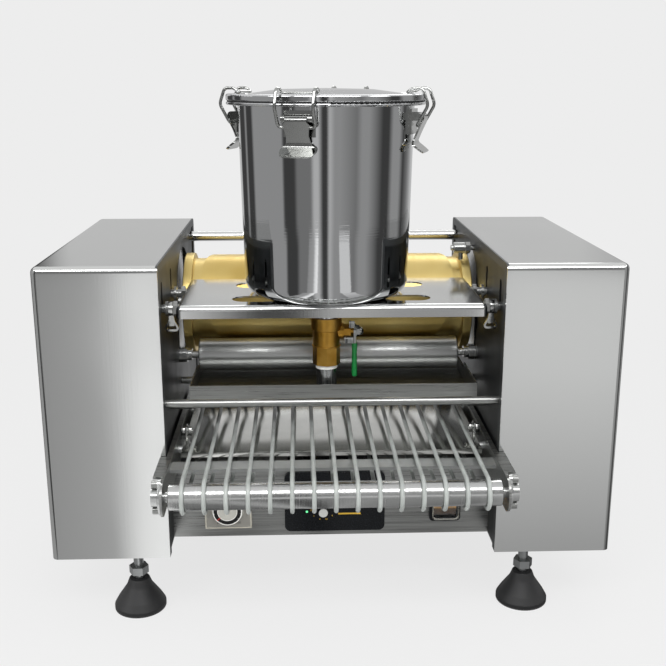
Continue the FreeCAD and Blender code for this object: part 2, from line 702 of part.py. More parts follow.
def conveyor():
    node(put(roller("front_roller", "-cap_end + 0.4", "cap_end - 0.4"), 0, *NOSE_AT))
    rear = put(roller("rear_roller_drum", "-159", "206"), 0, *REAR_AT)
    toothed = wheel("rear_chain_wheel", "belt_chain_x", "sprocket_width", REAR_AT,
                    sprocket_points(size("rear_sprocket")), "roller_shaft")
    node(group("rear_roller", rear, toothed))
    node(feature("round_belts", belts()))
    arms = [conveyor_arm(side_name, side) for side_name, side in SIDES]
    node(group("conveyor_arms", *arms))
    wide = ("-arm_inner", "arm_inner")
    brace = block("brace_bar", wide, (behind("brace_y - brace_depth/2"), behind("brace_y + brace_depth/2")),
                  (above("brace_z"), above("brace_z + brace_wall")))
    rods = [
        rod("bed_rod", "pin_radius", "x", wide, (behind(place), above("bed_z - pin_radius")))
        for place in ("bed_front + 25", "bed_back - 25")
    ]
    node(group("conveyor_braces", brace, *rods))
    node(block("bed_plate", ("-bed_half", "bed_half"), (behind("bed_front"), behind("bed_back")),
               (above("bed_z"), above("bed_z + bed_wall"))))


def belts():
    (y0, z0), (y1, _) = ((size(text) for text in at) for at in (NOSE_AT, REAR_AT))
    far, wire = size("belt_turn"), size("belt_radius")
    top, low, nose, tail = z0 + far, z0 - far, y0 - far, y1 + far
    edges = [
        Part.LineSegment(FreeCAD.Vector(0, y0, top), FreeCAD.Vector(0, y1, top)),
        Part.Arc(FreeCAD.Vector(0, y1, top), FreeCAD.Vector(0, tail, z0), FreeCAD.Vector(0, y1, low)),
        Part.LineSegment(FreeCAD.Vector(0, y1, low), FreeCAD.Vector(0, y0, low)),
        Part.Arc(FreeCAD.Vector(0, y0, low), FreeCAD.Vector(0, nose, z0), FreeCAD.Vector(0, y0, top)),
    ]
    path = Part.Wire([edge.toShape() for edge in edges])
    ring = Part.Wire(Part.makeCircle(wire, FreeCAD.Vector(0, y0, top), FreeCAD.Vector(0, 1, 0)))
    loop = path.makePipeShell([ring], True, False)
    count, pitch = int(size("belt_count")), size("belt_pitch")
    places = [FreeCAD.Vector((i - (count - 1) / 2) * pitch, 0, 0) for i in range(count)]
    return Part.makeCompound([loop.translated(place) for place in places])


def conveyor_arm(side_name, side):
    name = side_name + "_arm"
    owner = body(name + "_web")
    drawing = sketch(owner, "YZ_Plane", span(side, "arm_inner", "arm_inner + arm_wall")[0])
    y, z = NOSE_AT
    tail = f"{REAR_AT[0]} + 12"
    outline(drawing, (
        (f"{y} - arm_nose", f"{z} - arm_nose - 1", 14), (tail, above("arm_low"), 4),
        (tail, above("arm_top"), 4), (f"{y} - arm_nose", f"{z} + arm_nose - 1", 14),
    ))
    circle(drawing, *NOSE_AT, "roller_shaft + seat_gap")
    circle(drawing, *REAR_AT, "roller_shaft + run_gap")
    pad(owner, drawing, "arm_wall")
    height = (above("arm_top - 0.5"), above("arm_top + 1.5"))
    ledge = block(name + "_ledge", span(side, "arm_inner", "arm_inner + arm_wall + 3"),
                  (behind("-4"), tail), height)
    flange = block(name + "_flange", span(side, "arm_inner", "arm_inner + arm_flange"),
                   (behind("flange_start"), behind("-2")), height)
    return fuse(name, owner, ledge, flange)


# The bearing's cap stands on its flange behind a narrow groove.
def nose_cap(side_name, side):
    start = "arm_inner + arm_wall + bearing_plate"
    name = side_name + "_nose"
    caps = []
    for part, radius, reach in (
        ("_neck", "bearing_cap - 1.6", span(side, start, f"{start} + 0.6")),
        ("_cap", "bearing_cap", span(side, f"{start} + 0.6", "cap_end")),
    ):
        solid = rod(name + part + "_solid", radius, "x", reach, NOSE_AT)
        bore = rod(name + part + "_bore", "roller_shaft + run_gap", "x",
                   (f"{reach[0]} - 1", f"{reach[1]} + 1"), NOSE_AT)
        caps.append(cut(name + part, solid, bore))
    return caps


def conveyor_fittings():
    bearings, bolts = [], []
    y, z = NOSE_AT
    for side_name, side in SIDES:
        plate = span(side, "arm_inner + arm_wall", "arm_inner + arm_wall + bearing_plate")
        flange = flange_bearing(side_name + "_nose_flange", NOSE_AT, plate[0], "bearing_plate",
                                11, 4.4, size("bolt_reach"), "roller_shaft + run_gap")
        bearings.append(fuse(side_name + "_nose_bearing", flange, *nose_cap(side_name, side)))
        for lift in ("-bolt_reach", "bolt_reach"):
            reach = span(side, "arm_inner + arm_wall + bearing_plate", "cap_end - 0.5")
            bolts.append(rod(side_name + "_bearing_bolt", "bearing_bolt", "x", reach, (y, f"{z} + {lift}")))
        for place in ("80", "180"):
            at = (behind(place), above("conveyor_z"))
            reach = span(side, "arm_inner - 4.5", "arm_inner")
            bolts.append(hexagon(side_name + "_arm_bolt", 10, "x", reach, at))
            reach = span(side, "arm_inner + arm_wall", PLATE_IN)
            bolts.append(rod(side_name + "_arm_spacer", 5, "x", reach, at))
    node(group("flange_bearings", *bearings, *drum_bearings()))
    node(group("frame_fasteners", *bolts, *tray_pins()))


# Control panel and its three instruments, which stand on the XZ plane and face the front
def facing(name, front, wall, draw):
    owner = body(name)
    drawing = sketch(owner, "XZ_Plane", f"-({front} + {wall})")
    draw(drawing)
    return pad(owner, drawing, wall)


def soft_rectangle(x, z, width, height, radius):
    low, high = f"{x} - ({width})/2", f"{x} + ({width})/2"
    bottom, top = f"{z} - ({height})/2", f"{z} + ({height})/2"
    return ((low, bottom, radius), (high, bottom, radius), (high, top, radius), (low, top, radius))


INSTRUMENTS = {
    "thermostat": ("thermostat_x", above("thermostat_z"), "thermostat_side", "thermostat_side", 2, "46"),
    "speed": ("speed_x", above("speed_z"), "speed_width", "speed_height", 6, "60"),
    "rocker": ("rocker_x", above("rocker_z"), "rocker_width", "rocker_height", 4, "22"),
}


def control_panel():
    def draw(drawing):
        rectangle(drawing, (f"-({PLATE_IN})", PLATE_IN), (above("0"), above("panel_height")))
        for x, z, width, height, _, _ in INSTRUMENTS.values():
            (low, bottom), _, (high, top), _ = (
                corner[:2] for corner in soft_rectangle(x, z, f"{width} - 6", f"{height} - 6", 0))
            rectangle(drawing, (low, high), (bottom, top))

    face = facing("panel_face", behind("panel_y"), "panel_wall", draw)
    ledge = block("panel_ledge", (f"-({PLATE_IN})", PLATE_IN),
                  (behind("panel_y + panel_wall"), behind("panel_y + panel_wall + panel_flange")),
                  (above("panel_height - panel_wall"), above("panel_height")))
    node(fuse("control_panel", face, ledge))


def instrument(kind, label, hole):
    x, z, width, height, radius, depth = INSTRUMENTS[kind]
    bezel = facing(label + "_bezel", behind("panel_y - bezel_wall"), "bezel_wall",
                   lambda drawing: outline(drawing, soft_rectangle(x, z, width, height, radius)))
    rear = block(label + "_rear", (f"{x} - {width}/2 + 3", f"{x} + {width}/2 - 3"),
                 (behind("panel_y"), behind(f"panel_y + {depth}")),
                 (f"{z} - {height}/2 + 3", f"{z} + {height}/2 - 3"))
    return node(cut(label, fuse(label + "_whole", bezel, rear), hole))


def knob(name, x, z, radius, length, shaft):
    turned_knob = turned(name, "XY_Plane", (
        ("0", f"-{length}"), (f"{radius} - 2", f"-{length}", 1), (f"{radius} - 1", "-3", 1),
        (radius, "-3", 0.5),
        (radius, "0"), (shaft, "0"), (shaft, "8"), ("0", "8"),
    ), "V_Axis")
    return node(put(turned_knob, x, behind("panel_y - bezel_wall - seat_gap"), z))


def controls():
    control_panel()
    front = behind("panel_y - bezel_wall - 1")
    back = behind("panel_y - bezel_wall + 10")
    dial_at = ("thermostat_x", above("thermostat_z"))
    knob_at = ("knob_x", above("knob_z"))
    instrument("thermostat", "thermostat_case", rod("dial_bore", "3 + run_gap", "y", (front, back), dial_at))
    knob("thermostat_dial", *dial_at, "dial_radius", "dial_length", "3")
    instrument("speed", "speed_controller", rod("knob_bore", "3 + run_gap", "y", (front, back), knob_at))
    knob("speed_knob", *knob_at, "knob_radius", "knob_length", "3")
    x, z = "rocker_x", above("rocker_z")
    window = block("rocker_window", (f"{x} - 12", f"{x} + 12"), (front, behind("panel_y + 12")),
                   (f"{z} - 10.2", f"{z} + 10.2"))
    instrument("rocker", "rocker_frame", window)
    owner = body("rocker_switch")
    drawing = sketch(owner, "YZ_Plane", f"{x} - 11.5")
    y = behind("panel_y + 1")
    outline(drawing, (
        (f"{y} - 6.5", f"{z} + 7", 1), (f"{y} - 4.5", z, 20), (f"{y} - 4.5", f"{z} - 8", 1),
        (f"{y} + 6", f"{z} - 7", 1), (f"{y} + 6", f"{z} + 7", 1),
    ))
    node(pad(owner, drawing, "23"))


# Shelf with folded edges, carried by four posts that slide in the side plates
def obround(name, low, high, y, radius, zs):
    bar = block(name, (low, high), (f"{y} - {radius}", f"{y} + {radius}"), zs)
    ends = [rod(name + "_end", radius, "z", zs, (x, y)) for x in (low, high)]
    return fuse(name + "_hole", bar, *ends)


def shelf():
    outer = block("shelf_outer", ("-shelf_half", "shelf_half"), (behind("shelf_front"), behind("shelf_back")),
                  (above("shelf_z - shelf_drop"), above("shelf_z")))
    inner = block("shelf_inner", ("-shelf_half + shelf_wall", "shelf_half - shelf_wall"),
                  (behind("shelf_front + shelf_wall"), behind("shelf_back + shelf_radius")),
                  (above("shelf_z - shelf_drop - shelf_radius"), above("shelf_z - shelf_wall")))
    back, low = size(behind("shelf_back")), size(above("shelf_z - shelf_drop"))

    def folds(at):
        return at.y < back - 0.1 and at.z > low + 0.1

    shell = rounded("shelf_shell", outer, "shelf_radius", folds)
    bay = rounded("shelf_bay", inner, "shelf_radius - shelf_wall", folds)
    zs = (above("shelf_z - 4"), above("shelf_z + 4"))
    holes = [rod("shelf_outlet", "outlet_hole", "z", zs, ("bucket_x", behind("bucket_y")))]
    for side_name, side in SIDES:
        reach = span(side, "slot_inner + slot_radius", "slot_outer - slot_radius")
        for place in ("slot_y_front", "slot_y_back"):
            holes.append(obround(f"{side_name}_{place}", *reach, behind(place), "slot_radius", zs))
        for place in ("post_front", "post_back"):
            at = (behind(place), above("post_z"))
            holes.append(rod(f"{side_name}_{place}_hole", "post_radius", "x",
                             span(side, "shelf_half - 7", "shelf_half + 1"), at))
    node(cut("bucket_shelf", shell, bay, *holes))


def shelf_posts():
    posts = []
    for side_name, side in SIDES:
        for place in ("post_front", "post_back"):
            at = (behind(place), above("post_z"))
            name = f"{side_name}_{place}"
            parts = [
                rod(name + "_stud", "post_radius", "x", span(side, "shelf_half - 6", "174"), at),
                hexagon(name + "_nut", 13, "x", span(side, "shelf_half", "shelf_half + 3.7"), at),
                rod(name + "_washer", 7, "x", span(side, "clamp_x + 2.5", "clamp_x + 5"), at),
                hexagon(name + "_lock", 13, "x", span(side, f"{PLATE_OUT} + seat_gap", "171.5"), at),
            ]
            posts.append(fuse(name + "_post", *parts))
    node(group("shelf_posts", *posts))


# Clamp lever: an eye on the front post with a flared loop below it and a tongue in the loop
def clamp_lever(side_name, side):
    name = side_name + "_clamp_lever"
    y, z = behind("post_front"), above("post_z")
    x = f"({side}*clamp_x)"
    eye = rod(name + "_eye", "clamp_eye", "x", (f"{x} - 2", f"{x} + 2"), (y, z))
    half, neck, foot = "clamp_half", "clamp_neck", f"{z} - clamp_length"

    def draw(drawing):
        outline(drawing, (
            (f"{x} - {neck} + 1", f"{z} - 5"), (f"{x} - {neck}", f"{z} - 12", 8),
            (f"{x} - {half}", f"{foot} + 4", 4),
            (f"{x} - {half}", foot, 3), (f"{x} + {half}", foot, 3), (f"{x} + {half}", f"{foot} + 4", 4),
            (f"{x} + {neck}", f"{z} - 12", 8), (f"{x} + {neck} - 1", f"{z} - 5"),
        ))

    def draw_gap(drawing):
        rail = "clamp_rail"
        outline(drawing, (
            (f"{x} - {neck} + {rail}", f"{z} - 11", 1), (f"{x} - {half} + {rail}", f"{foot} + 4", 1),
            (f"{x} - {half} + {rail}", f"{foot} + {rail}", 1),
            (f"{x} + {half} - {rail}", f"{foot} + {rail}", 1),
            (f"{x} + {half} - {rail}", f"{foot} + 4", 1), (f"{x} + {neck} - {rail}", f"{z} - 11", 1),
        ))

    def draw_tongue(drawing):
        outline(drawing, (
            (f"{x} - 1", f"{z} - 9"), (f"{x} - 3.2", f"{foot} + 5", 1), (f"{x} + 3.2", f"{foot} + 5", 1),
            (f"{x} + 1", f"{z} - 9"),
        ))

    paddle = facing(name + "_paddle", f"{y} - 1.5", "3", draw)
    gap = facing(name + "_gap", f"{y} - 3", "6", draw_gap)
    tongue = facing(name + "_tongue", f"{y} - 0.7", "1.4", draw_tongue)
    loop = cut(name + "_loop", paddle, gap)
    bore = rod(name + "_bore", "post_radius + run_gap", "x", (f"{x} - 4", f"{x} + 4"), (y, z))
    return node(cut(name, fuse(name + "_whole", eye, loop, tongue), bore))


# Bucket, gasket and lid, turned about the bucket's own axis
def bucket():
    rim = above("bucket_rim_z")
    base = above("shelf_z")
    inner_low, inner_high = "bucket_low - bucket_wall", "bucket_high - bucket_wall"
    pail = turned("bucket", "XZ_Plane", (
        ("8", above("collar_z + collar_height")), ("spigot_radius", above("collar_z + collar_height")),
        ("spigot_radius", base), ("bucket_low", base, "bucket_round"), ("bucket_high", rim),
        ("rim_out", rim, 1.4),
        ("rim_out", f"{rim} + rim_height", 1.4), (inner_high, f"{rim} + rim_height"),
        (inner_low, f"{base} + bucket_wall", "bucket_round - bucket_wall"), ("8", f"{base} + bucket_wall"),
    ), "V_Axis")
    seat = f"{rim} + rim_height"
    ring = turned("lid_gasket", "XZ_Plane", (
        ("rim_out - 7", seat), ("rim_out - 1", seat, 0.5), ("rim_out - 1", f"{seat} + gasket_height", 0.5),
        ("rim_out - 7", f"{seat} + gasket_height"),
    ), "V_Axis")
    under = f"{seat} + gasket_height"
    top = f"{under} + lid_height"
    lid = turned("bucket_lid", "XZ_Plane", (
        ("0", f"{top} + dome_height"), ("45", f"{top} + dome_height - 1", 60),
        ("rim_out - 9", f"{top} - 1.5", 3),
        ("rim_out - 5", top, 1), ("rim_out", top, 2), ("rim_out", under, 1), ("rim_out - 7", under),
        ("rim_out - 9", f"{top} - 3", 2), ("45", f"{top} + dome_height - 2.5", 60),
        ("0", f"{top} + dome_height - 1.5"),
    ), "V_Axis")
    for thing in (pail, ring, lid):
        node(put(thing, "bucket_x", behind("bucket_y"), 0))


# Latches, built at the bucket's axis with X across the latch and Y outwards, then turned into place
def latch(name, turn):
    def set_down(thing):
        return put(thing, "bucket_x", behind("bucket_y"), 0, turn)

    hinge = ("hinge_out", above("hinge_z"))
    swing = ("bail_out", above("bail_z"))
    base = latch_base(name, hinge)
    node(set_down(latch_lever(name, hinge, swing)))
    rest = above("bucket_rim_z + rim_height + gasket_height + lid_height")
    over = size(f"{rest} + hook_rise")
    half, bend = size("bail_half"), size("bail_bend")
    out, low, inside = size("bail_out"), size(above("bail_z")), size("bail_in")
    side = [
        (size("barrel_half - 4"), out, low, 0), (half, out, low, bend),
        (half, size("knee_out"), size(above("knee_z")), 2 * bend), (half, size("hook_out"), over, bend + 1),
        (half, size("hook_out - 9"), over, bend + 1),
        (half, inside, size(f"{rest} + wire_radius - 0.2"), bend),
    ]
    mirrored = [(-x, y, z, radius) for x, y, z, radius in reversed(side)]
    node(set_down(feature(name + "_bail", piped(side + mirrored, size("wire_radius")))))
    return set_down(base)


def latch_base(name, hinge):
    y, z = hinge
    ends = ("barrel_half + 0.4", "barrel_half + 4.4")
    wide = ("-barrel_half - 4.4", "barrel_half + 4.4")
    plate = block(name + "_plate", wide, ("bucket_low - 4", "bucket_high + latch_wall"),
                  (f"{z} - 16", f"{z} + 7"))
    parts = [plate, rod(name + "_pin", "hinge_pin", "x", wide, hinge)]
    for side in (-1, 1):
        reach = span(side, *ends)
        parts.append(rod(name + "_knuckle", "barrel_out", "x", reach, hinge))
        height = (f"{z} - barrel_out", f"{z} + barrel_out")
        parts.append(block(name + "_cheek", reach, ("bucket_low", y), height))
    core = turned(name + "_core", "XZ_Plane", (
        ("0", above("shelf_z")), ("bucket_low", above("shelf_z")), ("bucket_high", above("bucket_rim_z")),
        ("0", above("bucket_rim_z")),
    ), "V_Axis")
    return cut(name + "_base", fuse(name + "_base_whole", *parts), core)


# The lever's strip leans in from the hinge to the wall and turns out again in a thumb tab. Its back
# is the front's outline moved in by the wall, which meets at the bend on the two moved lines.
def latch_lever(name, hinge, swing):
    y, z = hinge
    top, bend, tip = (FreeCAD.Vector(size(out), size(above(height)), 0) for out, height in (
        ("latch_top", "hinge_z"), ("latch_out", "latch_z"), ("tab_out", "tab_z")))
    wall = size("latch_wall")
    blade, tab = (bend - top).normalize(), (tip - bend).normalize()
    blade_in = FreeCAD.Vector(blade.y, -blade.x, 0) * wall
    tab_in = FreeCAD.Vector(tab.y, -tab.x, 0) * wall
    share = (tab_in - blade_in).dot(tab_in) / blade.dot(tab_in)
    back_bend = bend + blade_in + blade * share
    back_top = top + blade_in + blade * wall
    strip = body(name + "_strip")
    drawing = sketch(strip, "YZ_Plane", "-tab_half - 1")
    outline(drawing, (
        (y, f"{z} + barrel_out"), (top.x, top.y, 3), (bend.x, bend.y, 3), (tip.x, tip.y),
        ((tip + tab_in).x, (tip + tab_in).y), (back_bend.x, back_bend.y, 3 + wall),
        (back_top.x, back_top.y, 1.5),
        (y, f"{z} + barrel_out - latch_wall"),
    ))
    pad(strip, drawing, "2*tab_half + 2")
    low, tab_low = above("latch_z"), above("tab_z")

    def draw(drawing):
        half = (
            ("barrel_half", f"{z} + 5", 0), ("barrel_half", f"{z} - 3", 0), ("latch_half", f"{z} - 5", 2),
            ("waist_half", f"{z} - 15", 14), ("latch_half - 0.6", f"{low} + 2", 3),
            ("tab_half", f"{low} - 1.5", 3),
            ("tab_half", f"{tab_low} - 1.4", 6),
        )
        mirrored = tuple((f"-({x})", height, radius) for x, height, radius in reversed(half))
        outline(drawing, half + mirrored)

    plan = facing(name + "_plan", "hinge_out - 10", "40", draw)
    blade = common(name + "_blade", strip, plan)
    wide = ("-barrel_half", "barrel_half")
    longer = ("-barrel_half - 5", "barrel_half + 5")
    barrels = [rod(name + "_barrel", "barrel_out", "x", wide, hinge),
               rod(name + "_eye", "wire_radius + 0.9", "x", wide, swing)]
    bores = [rod(name + "_barrel_bore", "hinge_pin + run_gap", "x", longer, hinge),
             rod(name + "_eye_bore", "wire_radius + run_gap", "x", longer, swing)]
    return cut(name + "_lever", fuse(name + "_lever_whole", blade, *barrels), *bores)


def latches():
    bases = [latch(f"latch_{i + 1}", size("latch_turn") + 90 * i) for i in range(4)]
    node(group("latch_bases", *bases))


# Ball valve under the bucket, its nozzle and its lever
def valve():
    x, y = "bucket_x", behind("bucket_y")
    collar = rod("valve_collar", "collar_radius", "z",
                 (above("collar_z"), above("collar_z + collar_height")), (x, y))
    barrel = rod("valve_barrel", "barrel_radius", "z",
                 (above("octagon_z + octagon_height"), above("collar_z")), (x, y))
    octagon = prism("valve_octagon", 8, "octagon_radius", "z",
                    (above("octagon_z"), above("octagon_z + octagon_height")), (x, y))
    stem_at = (y, above("stem_z"))
    boss = rod("valve_boss", 8, "x", (x, f"{x} + stem_x - 11"), stem_at)
    gland = hexagon("valve_gland", 12, "x", (f"{x} + stem_x - 11", f"{x} + stem_x - 4"), stem_at)
    stem = rod("valve_stem", 4, "x", (f"{x} + stem_x - 4", f"{x} + stem_x + 3"), stem_at)
    bore = rod("valve_bore", 8, "z", (above("octagon_z - 1"), above("collar_z + collar_height + 1")), (x, y))
    node(cut("valve_body", fuse("valve_whole", collar, barrel, octagon, boss, gland, stem), bore))
    pipe = rod("nozzle_pipe", "nozzle_radius", "z", (above("nozzle_z"), above("octagon_z")), (x, y))
    hole = rod("nozzle_bore", 8, "z", (above("nozzle_z - 1"), above("octagon_z + 1")), (x, y))
    node(cut("valve_nozzle", pipe, hole))
    valve_lever(f"{x} + stem_x", stem_at)


def valve_lever(x, stem_at):
    y, z = stem_at
    middle = place2(stem_at)
    tip = middle - FreeCAD.Vector(0, size("lever_length"), 0)
    owner = body("lever_strap")
    drawing = sketch(owner, "YZ_Plane", f"{x} - 1.2")
    hull(drawing, middle, 8, tip, 5)
    pad(owner, drawing, "2.4")
    nut = hexagon("lever_nut", 10, "x", (f"{x} + 1.2", f"{x} + 5"), stem_at)
    bore = rod("lever_bore", "4 + run_gap", "x", (f"{x} - 3", f"{x} + 3.2"), stem_at)
    node(cut("valve_lever", fuse("lever_whole", owner, nut), bore))
    sleeve = body("grip_sleeve")
    drawing = sketch(sleeve, "YZ_Plane", f"{x} - 2.8")
    hull(drawing, middle - FreeCAD.Vector(0, 15, 0), 8.2, tip, 7)
    pad(sleeve, drawing, "5.6")
    slit = body("grip_slit")
    drawing = sketch(slit, "YZ_Plane", f"{x} - 1.2")
    hull(drawing, middle, 8, tip, 5)
    pad(slit, drawing, "2.4")
    trim = block("grip_trim", (f"{x} - 5", f"{x} + 5"), (f"{y} - 12", f"{y} + 12"),
                 (f"{z} - 11", f"{z} + 12"))
    node(cut("lever_grip", sleeve, slit, trim))


# Temperature probe on the right side plate, its tip just over the drum's rim
def probe():
    at = (behind("probe_y"), above("probe_z"))
    x = "probe_x + 9"
    stub = rod("probe_stub", 3, "x", (f"{x} - 9", PLATE_IN), at)
    collar = rod("probe_collar", 6, "x", (f"{x} - 6", f"{x} + 6"), at)
    nut = hexagon("probe_nut", 11, "x", (f"{x} + 7", f"{x} + 12"), at)
    tip = rod("probe_tip", 2.5, "z", (above("probe_z - 13"), above("probe_z")),
              (f"{x} + 2", behind("probe_y")))
    node(fuse("temperature_probe", stub, collar, nut, tip))


# Levelling feet: a bell-shaped pad, a stud and its nut
def foot(name, x, place):
    y = behind(place)
    bell = turned(name + "_pad", "XZ_Plane", (
        ("0", "0"), ("pad_radius", "0", 1), ("pad_radius", "5", 2), ("pad_radius - 4", "12", 10),
        ("stud_radius + 8", "pad_height - 8", 12), ("stud_radius + 5", "pad_height", 2), ("0", "pad_height"),
    ), "V_Axis")
    put(bell, x, y, 0)
    stud = rod(name + "_stud", "stud_radius", "z", ("pad_height", above("stud_top")), (x, y))
    nut = hexagon(name + "_nut", 17, "z", ("pad_height + 5", "pad_height + 13"), (x, y))
    jam = hexagon(name + "_jam", 17, "z", ("foot_height - 8.3", "foot_height - seat_gap"), (x, y))
    return node(group(name, bell, fuse(name + "_screw", stud, nut, jam)))


def feet():
    for side_name, side in SIDES:
        for row, place in (("front", "foot_front"), ("rear", "foot_back")):
            foot(f"foot_{row}_{side_name}", f"{side}*foot_x", place)


for side_name, side in SIDES:
    cover(side_name, side)
    side_plate(side_name, side)
floor_plates()
cross_rods()
drum()
drum_heater()
feed_roller()
batter_tray()
drive()
control_blocks()
conveyor()
conveyor_fittings()
controls()
shelf()
shelf_posts()
for side_name, side in SIDES:
    clamp_lever(side_name, side)
bucket()
latches()
valve()
probe()
feet()
doc.recompute()

for thing in doc.Objects:
    if "Invalid" in thing.State or "Error" in thing.State:
        raise RuntimeError(f"{thing.Name} failed: {thing.State}")
for thing in nodes:
    if thing.Shape.isNull() or not thing.Shape.isValid():
        raise RuntimeError(f"{thing.Label} has no valid shape")

os.makedirs("parts", exist_ok=True)
for thing in nodes:
    thing.Shape.exportStep(f"parts/{thing.Label}.step")
print(f"{len(nodes)} nodes written")
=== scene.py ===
import json
import math

import bpy
from mathutils import Matrix, Vector


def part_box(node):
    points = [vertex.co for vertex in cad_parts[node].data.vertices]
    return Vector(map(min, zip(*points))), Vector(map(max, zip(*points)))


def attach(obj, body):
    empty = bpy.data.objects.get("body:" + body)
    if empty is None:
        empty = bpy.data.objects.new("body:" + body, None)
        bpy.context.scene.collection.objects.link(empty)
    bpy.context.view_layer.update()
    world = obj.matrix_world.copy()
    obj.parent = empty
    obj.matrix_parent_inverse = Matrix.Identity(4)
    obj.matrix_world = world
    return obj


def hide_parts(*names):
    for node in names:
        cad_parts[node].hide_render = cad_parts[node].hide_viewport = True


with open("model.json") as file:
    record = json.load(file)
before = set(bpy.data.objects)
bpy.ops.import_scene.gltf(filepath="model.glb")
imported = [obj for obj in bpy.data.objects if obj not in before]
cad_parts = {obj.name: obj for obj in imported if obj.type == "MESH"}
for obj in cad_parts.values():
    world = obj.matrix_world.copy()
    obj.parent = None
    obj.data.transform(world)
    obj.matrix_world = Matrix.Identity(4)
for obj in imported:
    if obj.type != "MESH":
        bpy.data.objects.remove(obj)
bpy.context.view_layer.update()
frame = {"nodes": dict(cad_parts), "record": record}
nodes = frame["nodes"]
# the camera's and the pieces' sizes are written in mm and turned to metres by this
mm = 0.001
bpy.ops.object.select_all(action="DESELECT")
print("frame loaded:", len(nodes), "nodes")


# colours are written as sRGB hex and turned to linear here
def linear(hexColour):
    channels = [int(hexColour[i:i + 2], 16) / 255 for i in (1, 3, 5)]
    return [c / 12.92 if c < 0.04045 else ((c + 0.055) / 1.055) ** 2.4 for c in channels] + [1.0]


# adds one node, sets its settings and links or fills its inputs
def addNode(tree, kind, inputs=None, **settings):
    made = tree.nodes.new(kind)
    for name, value in settings.items():
        setattr(made, name, value)
    for name, value in (inputs or {}).items():
        if isinstance(value, bpy.types.NodeSocket):
            tree.links.new(value, made.inputs[name])
        else:
            made.inputs[name].default_value = value
    return made


def rampStops(ramp, stops):
    while len(ramp.elements) < len(stops):
        ramp.elements.new(1.0)
    for element, (place, colour) in zip(ramp.elements, stops):
        element.position = place
        element.color = colour


def startMaterial(name, colour, metallic, roughness, ior=None):
    made = bpy.data.materials.new(name)
    made.use_nodes = True
    tree = made.node_tree
    shader = tree.nodes["Principled BSDF"]
    shader.inputs["Base Color"].default_value = linear(colour)
    shader.inputs["Metallic"].default_value = metallic
    shader.inputs["Roughness"].default_value = roughness
    if ior:
        shader.inputs["IOR"].default_value = ior
    return made, tree, shader


# camera: placed and aimed as the photograph was taken, 666 by 666
camera = {"place": (-32.0, -979.75, 522.7), "forward": (0.03561, 0.96639, -0.25460),
          "right": (0.99932, -0.03682, 0.0), "up": (0.00937, 0.25443, 0.96704), "lens": 51.81, "sensor": 36,
          "near": 10}


def placeCamera(c):
    made = bpy.data.cameras.new("photoCamera")
    made.sensor_width = c["sensor"]
    made.lens = c["lens"]
    made.clip_start = c["near"] * mm
    holder = bpy.data.objects.new("photoCamera", made)
    bpy.context.scene.collection.objects.link(holder)
    columns = [Vector(c["right"]), Vector(c["up"]), -Vector(c["forward"])]
    turn = Matrix(columns).transposed().to_4x4()
    holder.matrix_world = Matrix.Translation(Vector(c["place"]) * mm) @ turn
    bpy.context.scene.camera = holder


placeCamera(camera)
print("camera placed")

# studio: pale floor, pale world, soft lamps and grey flags and mats that only the metal sees, in metres
studio = {"background": "#EDEDED", "floorSize": 14.0, "floorShade": 0.11, "shadeNear": 0.3, "shadeFar": 1.0,
          "skyLight": 0.6, "ringRadius": 0.8, "ringLow": 0.25, "ringHigh": 0.8, "ringCorners": 128,
          "matRadius": 2.6, "matHeight": 0.002}
# each lamp: name, place, aim, width, height and power in watts
lamps = [("overhead", (0.0, -1.2, 1.4), (0, 0, 0.25), 1.8, 0.5, 20),
         ("leftSoft", (-1.9, -1.2, 1.35), (0, 0, 0.25), 1.0, 1.3, 18),
         ("rightSoft", (1.9, -0.9, 1.5), (0, 0, 0.25), 0.9, 1.2, 14),
         ("backSoft", (0.3, 1.9, 1.6), (0, 0, 0.3), 1.4, 0.9, 12)]
# the flags are cards in four tones, by azimuth, 0 towards the camera and positive to the right
black, dim, grey, pale = 0.06, 0.22, 0.36, 0.58
flagBands = [(-180, pale), (-147, pale), (-143, black), (-127, black), (-122, grey), (-118, black), (-107, black),
             (-102, grey), (-56, grey), (-53, black), (-40, black), (-36, dim), (-20, dim), (-16, pale),
             (-11, pale), (-6, black), (-1, black), (2, pale), (8, grey), (14, grey), (34, dim), (41, grey),
             (50, grey), (70, black), (80, black), (88, grey), (102, grey), (112, black), (126, dim), (145, pale)]
# mats on the floor before the two covers, wedges that spread from the point where the covers' fronts mirror
# the camera. Their tone follows the angle seen from that point, or the nearness to it
wedges = {"point": (-0.032, 0.73725), "reach": (0.86, 3.2), "height": 0.004}
leftMat = {"name": "leftMat", "slopes": (-0.30, -0.14), "by": "angle",
           "tones": [(-0.30, 0.35), (-0.21, 0.45), (-0.18, 1.0), (-0.14, 1.2)]}
rightMat = {"name": "rightMat", "slopes": (0.2, 0.385), "by": "nearness",
            "tones": [(0.3, 0.8), (0.6, 0.75), (1.0, 0.43), (1.2, 0.36)]}


# the camera, metal and glass see what is linked to the third socket, and the other light comes from the second
def paleShader(tree, other):
    seen = addNode(tree, "ShaderNodeLightPath")
    direct, glossy = seen.outputs["Is Camera Ray"], seen.outputs["Is Glossy Ray"]
    plain = addNode(tree, "ShaderNodeMath", {0: direct, 1: glossy}, operation="MAXIMUM")
    shown = addNode(tree, "ShaderNodeMath", {0: plain.outputs[0], 1: seen.outputs["Is Transmission Ray"]},
                    operation="MAXIMUM")
    return addNode(tree, "ShaderNodeMixShader", {0: shown.outputs[0], 1: other})


